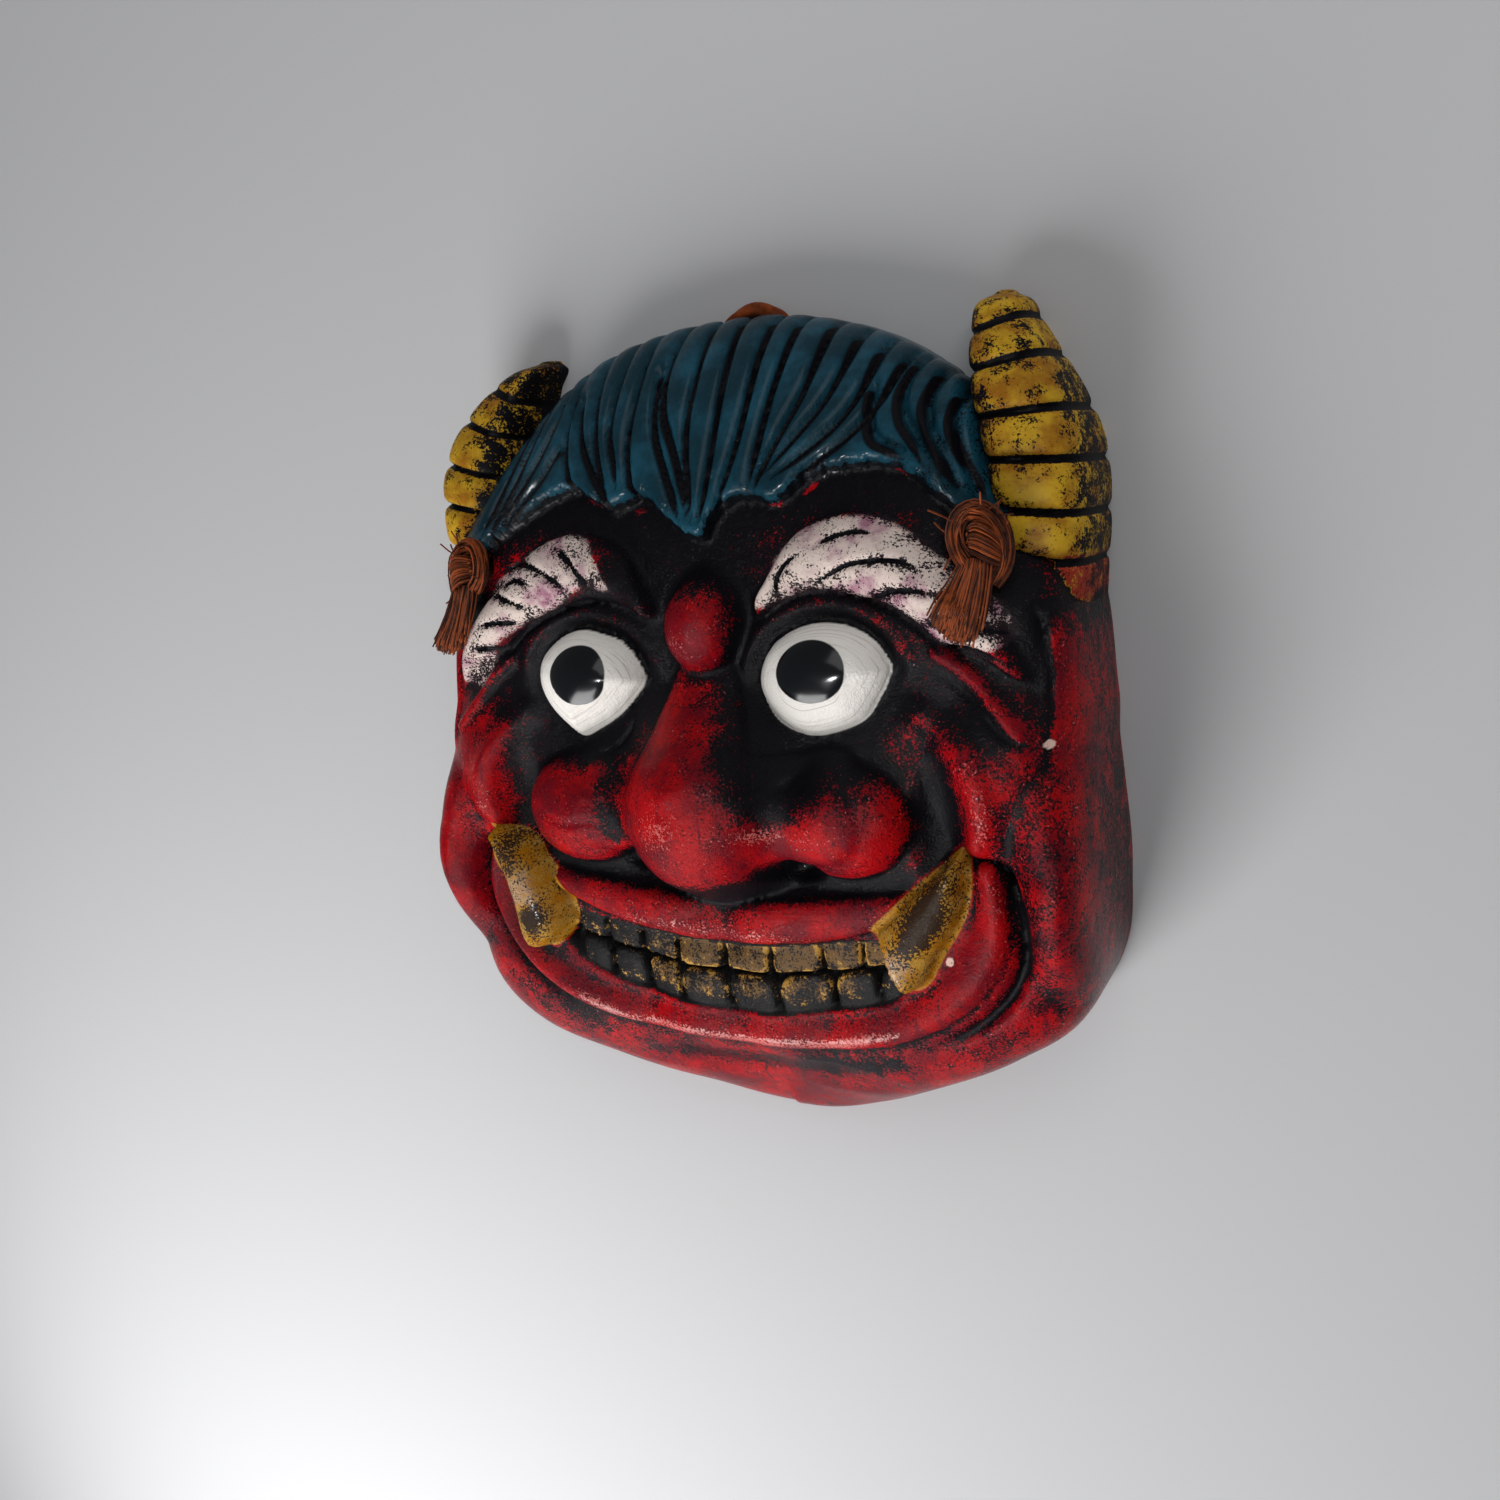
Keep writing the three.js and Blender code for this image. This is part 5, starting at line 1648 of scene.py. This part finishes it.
# %% [markdown]
# Lacquer lies over the pupils, the pale touches and the locks of hair, but not in the grooves or
# on the teeth. It is a coat with one roughness, and a mask says where it is. Under it the paint
# is rougher where the grain is. A little bump from grain, lumps and, on the hair, brush marks
# gives the surface of hand-laid paint. The pupils stay smooth.

# %% Gloss and grain of the face
LACQUER = 0.42
LACQUER_ROUGHNESS = 0.18


def add_bump(tree, shader, strength, distance, height):
    bump = add(tree, "ShaderNodeBump", {"Strength": strength, "Distance": distance, "Height": height})
    tree.links.new(bump, shader.inputs["Normal"])


grain = use_group(tree, speckle, {}, "Grain")
not_pupil = less(tree, 1.0, pupil_cover)
gloss = times_plus(tree, wash_and_shade_cover, 0.05, times(tree, grain, 0.24))
gloss = times_plus(tree, not_pupil, 0.04, gloss)
tree.links.new(gloss, shader.inputs["Roughness"])
lacquer = times(tree, pale_and_highlight_cover, step(tree, tooth_in, 2.3, 2.8))
on_locks = times(tree, step(tree, groove_in, 0.9, 1.9), 0.45)
lacquer = times_plus(tree, hair_cover, on_locks, lacquer)
lacquer = times_plus(tree, pupil_cover, 1.2, lacquer)
tree.links.new(times(tree, lacquer, LACQUER), shader.inputs["Coat Weight"])
shader.inputs["Coat Roughness"].default_value = LACQUER_ROUGHNESS
lumps = noise(tree, where, 300, 3, 0.55)
height = times_plus(tree, lumps, 1.3, times(tree, grain, 0.9))
height = times_plus(tree, marks, times(tree, hair_cover, 1.2), height)
add_bump(tree, shader, 0.5, 0.0007, times(tree, height, not_pupil))
print("face paint:", len(tree.nodes), "nodes")

# %% [markdown]
# The horns are yellow ochre, rubbed over a black ground that still shows in the rings and on the
# side towards the hair. Their foot has taken red from the face.

# %% Painted horns
DARK_OCHRE = pigment(150, 98, 24)
BRIGHT_OCHRE = pigment(200, 158, 40)
BRICK_RED = pigment(150, 50, 34)

tree, shader = start_paint(paints[HORN_PAINT], 0.45)
where = object_place(tree)
wash_and_shade_in, pale_and_highlight_in, groove_in = parts_of(tree, "wash_and_shade")
ochre = over(tree, step(tree, noise(tree, where, 120, 4), 0.35, 0.65), DARK_OCHRE, BRIGHT_OCHRE)
red_foot = speckled(tree, times(tree, pale_and_highlight_in, 0.8), 1.6, 2.0)
ochre = over(tree, red_foot, ochre, BRICK_RED)
ring_cover = speckled(tree, times(tree, step(tree, groove_in, 1.4, 0.5), 1.1), 1.6, 1.2)
ochre = over(tree, ring_cover, ochre, INK)
stain = speckled(tree, wash_and_shade_in, 2.6, 3.2)
tree.links.new(over(tree, stain, ochre, INK), shader.inputs["Base Color"])
add_bump(tree, shader, 0.4, 0.0006, noise(tree, where, 1200, 4))
print("horn paint:", len(tree.nodes), "nodes")

# %% [markdown]
# The inside of the mask was never meant to be seen. It is bare clay in two browns, stained by
# paint that ran over, and as rough as a hand leaves it.

# %% Bare clay
DARK_CLAY = pigment(92, 58, 44)
PALE_CLAY = pigment(132, 88, 66)
CLAY_STAIN = pigment(40, 22, 20)

tree, shader = start_paint(paints[BARE_CLAY], 0.8)
where = object_place(tree)
clay = over(tree, noise(tree, where, 60, 5), DARK_CLAY, PALE_CLAY)
stain = times(tree, speckled(tree, 0.3, 0.8, 1.6), 0.7)
tree.links.new(over(tree, stain, clay, CLAY_STAIN), shader.inputs["Base Color"])
add_bump(tree, shader, 0.5, 0.0008, noise(tree, where, 500, 5))
print("clay paint:", len(tree.nodes), "nodes")

# %% [markdown]
# ## Tassels
# At each temple the cord comes out of its hole and ends in a tassel. Its stalk and its loose loop
# are strands of many threads about a middle line, a fan of threads crosses the loop, and the ends
# hang in a skirt from the neck. Blender's hair could draw such threads, but a mesh can be
# measured and exported as it is, so each thread is a thin tube with few sides.

# %% Middle lines of a tassel
THREAD_RADIUS = 0.22
THREAD_SIDES = 4
LEG = [
    (69.8, 23, 47), (67.8, 25.9, 46.6), (67, 29, 46.4), (67.4, 32, 46), (68.8, 34.2, 45.4),
    (71.2, 35, 44.8), (73.6, 34.2, 44.2),
]
BAND = [
    (70.4, 34.6, 44.6), (73.4, 34, 44.8), (75.8, 31.9, 44.6), (77.1, 28.8, 44.2), (77.4, 25.2, 44.2),
    (76.6, 21.8, 44.8), (74.4, 18.9, 45.6),
]
STALK = [(70.6, 28.2, 38), (71, 28.4, 41), (71.6, 28.6, 44), (72.4, 28.6, 47)]
STRANDS = ((LEG, 2.1, 80), (BAND, 2.4, 100), (STALK, 2.6, 60))
NECK = (72.2, 24.4, 47.6)
KNOT_MIDDLE = (72, 27, 44)
print("strands of", [count for _, _, count in STRANDS], "threads")

# %% [markdown]
# The threads of a strand wind about its middle line, each at its own distance and with its own
# twist. The skirt's threads start side by side at the neck and spread as they fall. A few stray
# threads stick out of the knot. Chance places them all, from a fixed seed, so that every run
# makes the same tassel.

# %% Threads of a tassel
FAN_THREADS = 130
# A point of the fan's middle thread, how far the fan spreads there, and whether it lifts there.
FAN = (
    ((69.4, 28.4, 45), 2.6, 1), ((72.8, 28.6, 48.8), 3.9, 1),
    ((76, 26.6, 48), 3.8, 1), ((78, 23.6, 44.6), 2.2, 0),
)
SKIRT_THREADS = 240
SKIRT_POINTS = 10
SKIRT_NARROW = 3.2
SKIRT_WIDE = 5.4
SKIRT_LOW = 7.6
HEM_CURVE = 2.3
HEM_SLANT = 1.2
SKIRT_BACK = 1.8
SKIRT_DEPTH = 3.0
SKIRT_FORWARD = 5.2
SKIRT_GATHER = 1.4
STRAY_THREADS = 9


def loop_threads(rng):
    lines = []
    for points, radius, count in STRANDS:
        middle = smooth_line(points, 2)
        side, up = across_line(middle)
        share = np.linspace(0, 1, len(middle))[:, None]
        for _ in range(count):
            off = radius * rng.uniform(0.3, 1.05)
            roll = rng.uniform(0, 2 * math.pi) + rng.normal(0, 1.2) * share
            lines.append(middle + off * (np.cos(roll) * side + np.sin(roll) * up))
    for _ in range(FAN_THREADS):
        place, lift = rng.uniform(-1, 1), rng.uniform(-1.6, 0.8)
        way = [(x, y + wide * place, z + lifts * lift) for (x, y, z), wide, lifts in FAN]
        lines.append(smooth_line(way, 3))
    return lines


def skirt_threads(rng, lean):
    lines = []
    share = np.linspace(0, 1, SKIRT_POINTS)
    for _ in range(SKIRT_THREADS):
        place = np.clip(rng.normal(0, 0.5), -1.1, 1.1)
        lift = rng.uniform(0, 1)
        start_x = NECK[0] + SKIRT_NARROW * place
        end_x = NECK[0] + lean + SKIRT_WIDE * place
        end_y = SKIRT_LOW + HEM_CURVE * place**2 - HEM_SLANT * place + rng.normal(0, 0.8)
        x = start_x + (end_x - start_x) * share**1.1
        x += rng.normal(0, 0.5) * np.sin(math.pi * share) + rng.normal(0, 0.3) * share
        y = NECK[1] + (end_y - NECK[1]) * share
        z = NECK[2] - SKIRT_BACK + SKIRT_DEPTH * lift + (SKIRT_FORWARD - SKIRT_GATHER * lift) * share
        lines.append(np.stack([x, y, z], axis=1))
    return lines


def stray_threads(rng):
    lines = []
    for _ in range(STRAY_THREADS):
        start = np.array(BAND[rng.integers(1, 6)] if rng.uniform() < 0.6 else LEG[rng.integers(1, 5)])
        out = start - KNOT_MIDDLE
        out = out / np.linalg.norm(out) + rng.normal(0, 0.4, 3)
        bend = start + 1.8 * out + (0, 0, 1.2)
        lines.append(smooth_line([start, bend, bend + 2.4 * out + rng.normal(0, 0.8, 3)], 4))
    return lines


print("threads of fan and skirt:", FAN_THREADS + SKIRT_THREADS)

# %% [markdown]
# The finished threads are moved so that the knot rests on the clay, and a point that would lie
# below the skin is lifted to just above it, as thread lies on a face. Cloth could be simulated
# for that, but for threads this short the height of the carved skin is enough.

# %% Both tassels
SETTLE = (-1.1, -0.5, -2.1)
ABOVE_SKIN = 0.4


def skin_height(x, y):
    dome = dome_height(x, y)
    reach = face_reach(x, y)
    return np.maximum(carved_height(x, y, dome, reach), dome + hair_thickness(reach))


def make_tassel(name, sign, lean, seed):
    rng = np.random.default_rng(seed)
    lines = loop_threads(rng) + skirt_threads(rng, lean) + stray_threads(rng)
    ends = np.cumsum([len(line) for line in lines])[:-1]
    all_points = np.vstack(lines) * (sign, 1, 1) + SETTLE
    skin_z = skin_height(all_points[:, 0], all_points[:, 1])
    all_points[:, 2] = np.maximum(all_points[:, 2], skin_z + ABOVE_SKIN)
    bm = new_threads()
    for line in np.split(all_points, ends):
        tube = roll_tube(bm, line, lambda angle, share: THREAD_RADIUS, THREAD_SIDES)
        shade_tube(bm, tube, rng.uniform(0, 1))
    close_tubes(bm)
    return keep(bm, name)


right_tassel = make_tassel("right_tassel_thread", sign=1, lean=-4.2, seed=11)
left_tassel = make_tassel("left_tassel_thread", sign=-1, lean=4, seed=12)

# %% [markdown]
# Rust-brown thread is matt, with a faint sheen. Each thread carries its own shade, and a noise
# shifts it along the way, so that threads part from each other even where they lie close.

# %% Thread
DARK_RUST = pigment(46, 17, 6)
BRIGHT_RUST = pigment(158, 76, 34)

thread = bpy.data.materials.new("rust_thread")
tree, shader = start_paint(thread, 0.55)
shade = add(tree, "ShaderNodeAttribute", output="Fac", attribute_name="shade")
shift = less(tree, noise(tree, object_place(tree), 300, 3), 0.5)
shade = times_plus(tree, shift, 1.2, shade)
rust = over(tree, step(tree, shade, 0.0, 1.2), DARK_RUST, BRIGHT_RUST)
tree.links.new(rust, shader.inputs["Base Color"])
shader.inputs["Sheen Weight"].default_value = 0.05
for piece in (hanging_cord, right_tassel, left_tassel):
    piece.data.materials.append(thread)
print("thread on", hanging_cord.name, right_tassel.name, left_tassel.name)

# %% [markdown]
# ## Tie every piece to the frame
# Each piece rides on the one body of this row and stands for its solid.

# %% Ride and replace
for piece, node, finish in (
    (mask, "mask", "painted_clay"),
    (right_tassel, "right_tassel", "rust_thread"),
    (left_tassel, "left_tassel", "rust_thread"),
    (hanging_cord, "hanging_cord", "rust_thread"),
):
    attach(piece, "root")
    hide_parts(node)
cord_path = to_scene(cord_line)
print("cord of", round(cord_length * MILLIMETRE, 3), "m declared")

# %% [markdown]
# ## Floor and light
# The floor is plain and pale. A large soft lamp stands low at the chin's left, so that it rakes
# the carving and throws a soft shadow past the crown's right. A weaker one at the crown's side
# fills the rest. A small one above is hidden from diffuse light: it only makes glints on the
# lacquer, where a stronger large lamp would wash out the colours. A pale sky lifts the shadows.

# %% Floor and lights
FLOOR_HALF = 2.5
SKY_COLOUR = (0.8, 0.82, 0.85, 1)
SKY_STRENGTH = 0.27

bm = bmesh.new()
bmesh.ops.create_grid(bm, x_segments=1, y_segments=1, size=FLOOR_HALF)
floor = keep(bm, "floor")
floor_paint = bpy.data.materials.new("pale_floor")
tree, shader = start_paint(floor_paint, 0.9)
shader.inputs["Base Color"].default_value = pigment(186, 186, 187)
floor.data.materials.append(floor_paint)


def soft_light(name, at, towards, size, power):
    data = bpy.data.lights.new(name, "AREA")
    data.size = size
    data.energy = power
    lamp = bpy.data.objects.new(name, data)
    lamp.location = at
    lamp.rotation_euler = (Vector(towards) - Vector(at)).to_track_quat("-Z", "Y").to_euler()
    bpy.context.collection.objects.link(lamp)
    return lamp


glints = soft_light("glints", at=(0.06, -0.07, 0.44), towards=(0, -0.01, 0.05), size=0.07, power=2.4)
glints.visible_diffuse = False
soft_light("key", at=(-0.24, -0.54, 0.44), towards=(0, -0.02, 0.03), size=0.4, power=6.0)
soft_light("fill", at=(0.4, 0.7, 0.7), towards=(0.05, 0, 0.03), size=0.8, power=3.8)
sky = bpy.data.worlds.new("soft_room")
bpy.context.scene.world = sky
sky.use_nodes = True
background = sky.node_tree.nodes["Background"]
background.inputs["Color"].default_value = SKY_COLOUR
background.inputs["Strength"].default_value = SKY_STRENGTH
bpy.context.scene.view_settings.view_transform = "Standard"
print("lights and floor set")
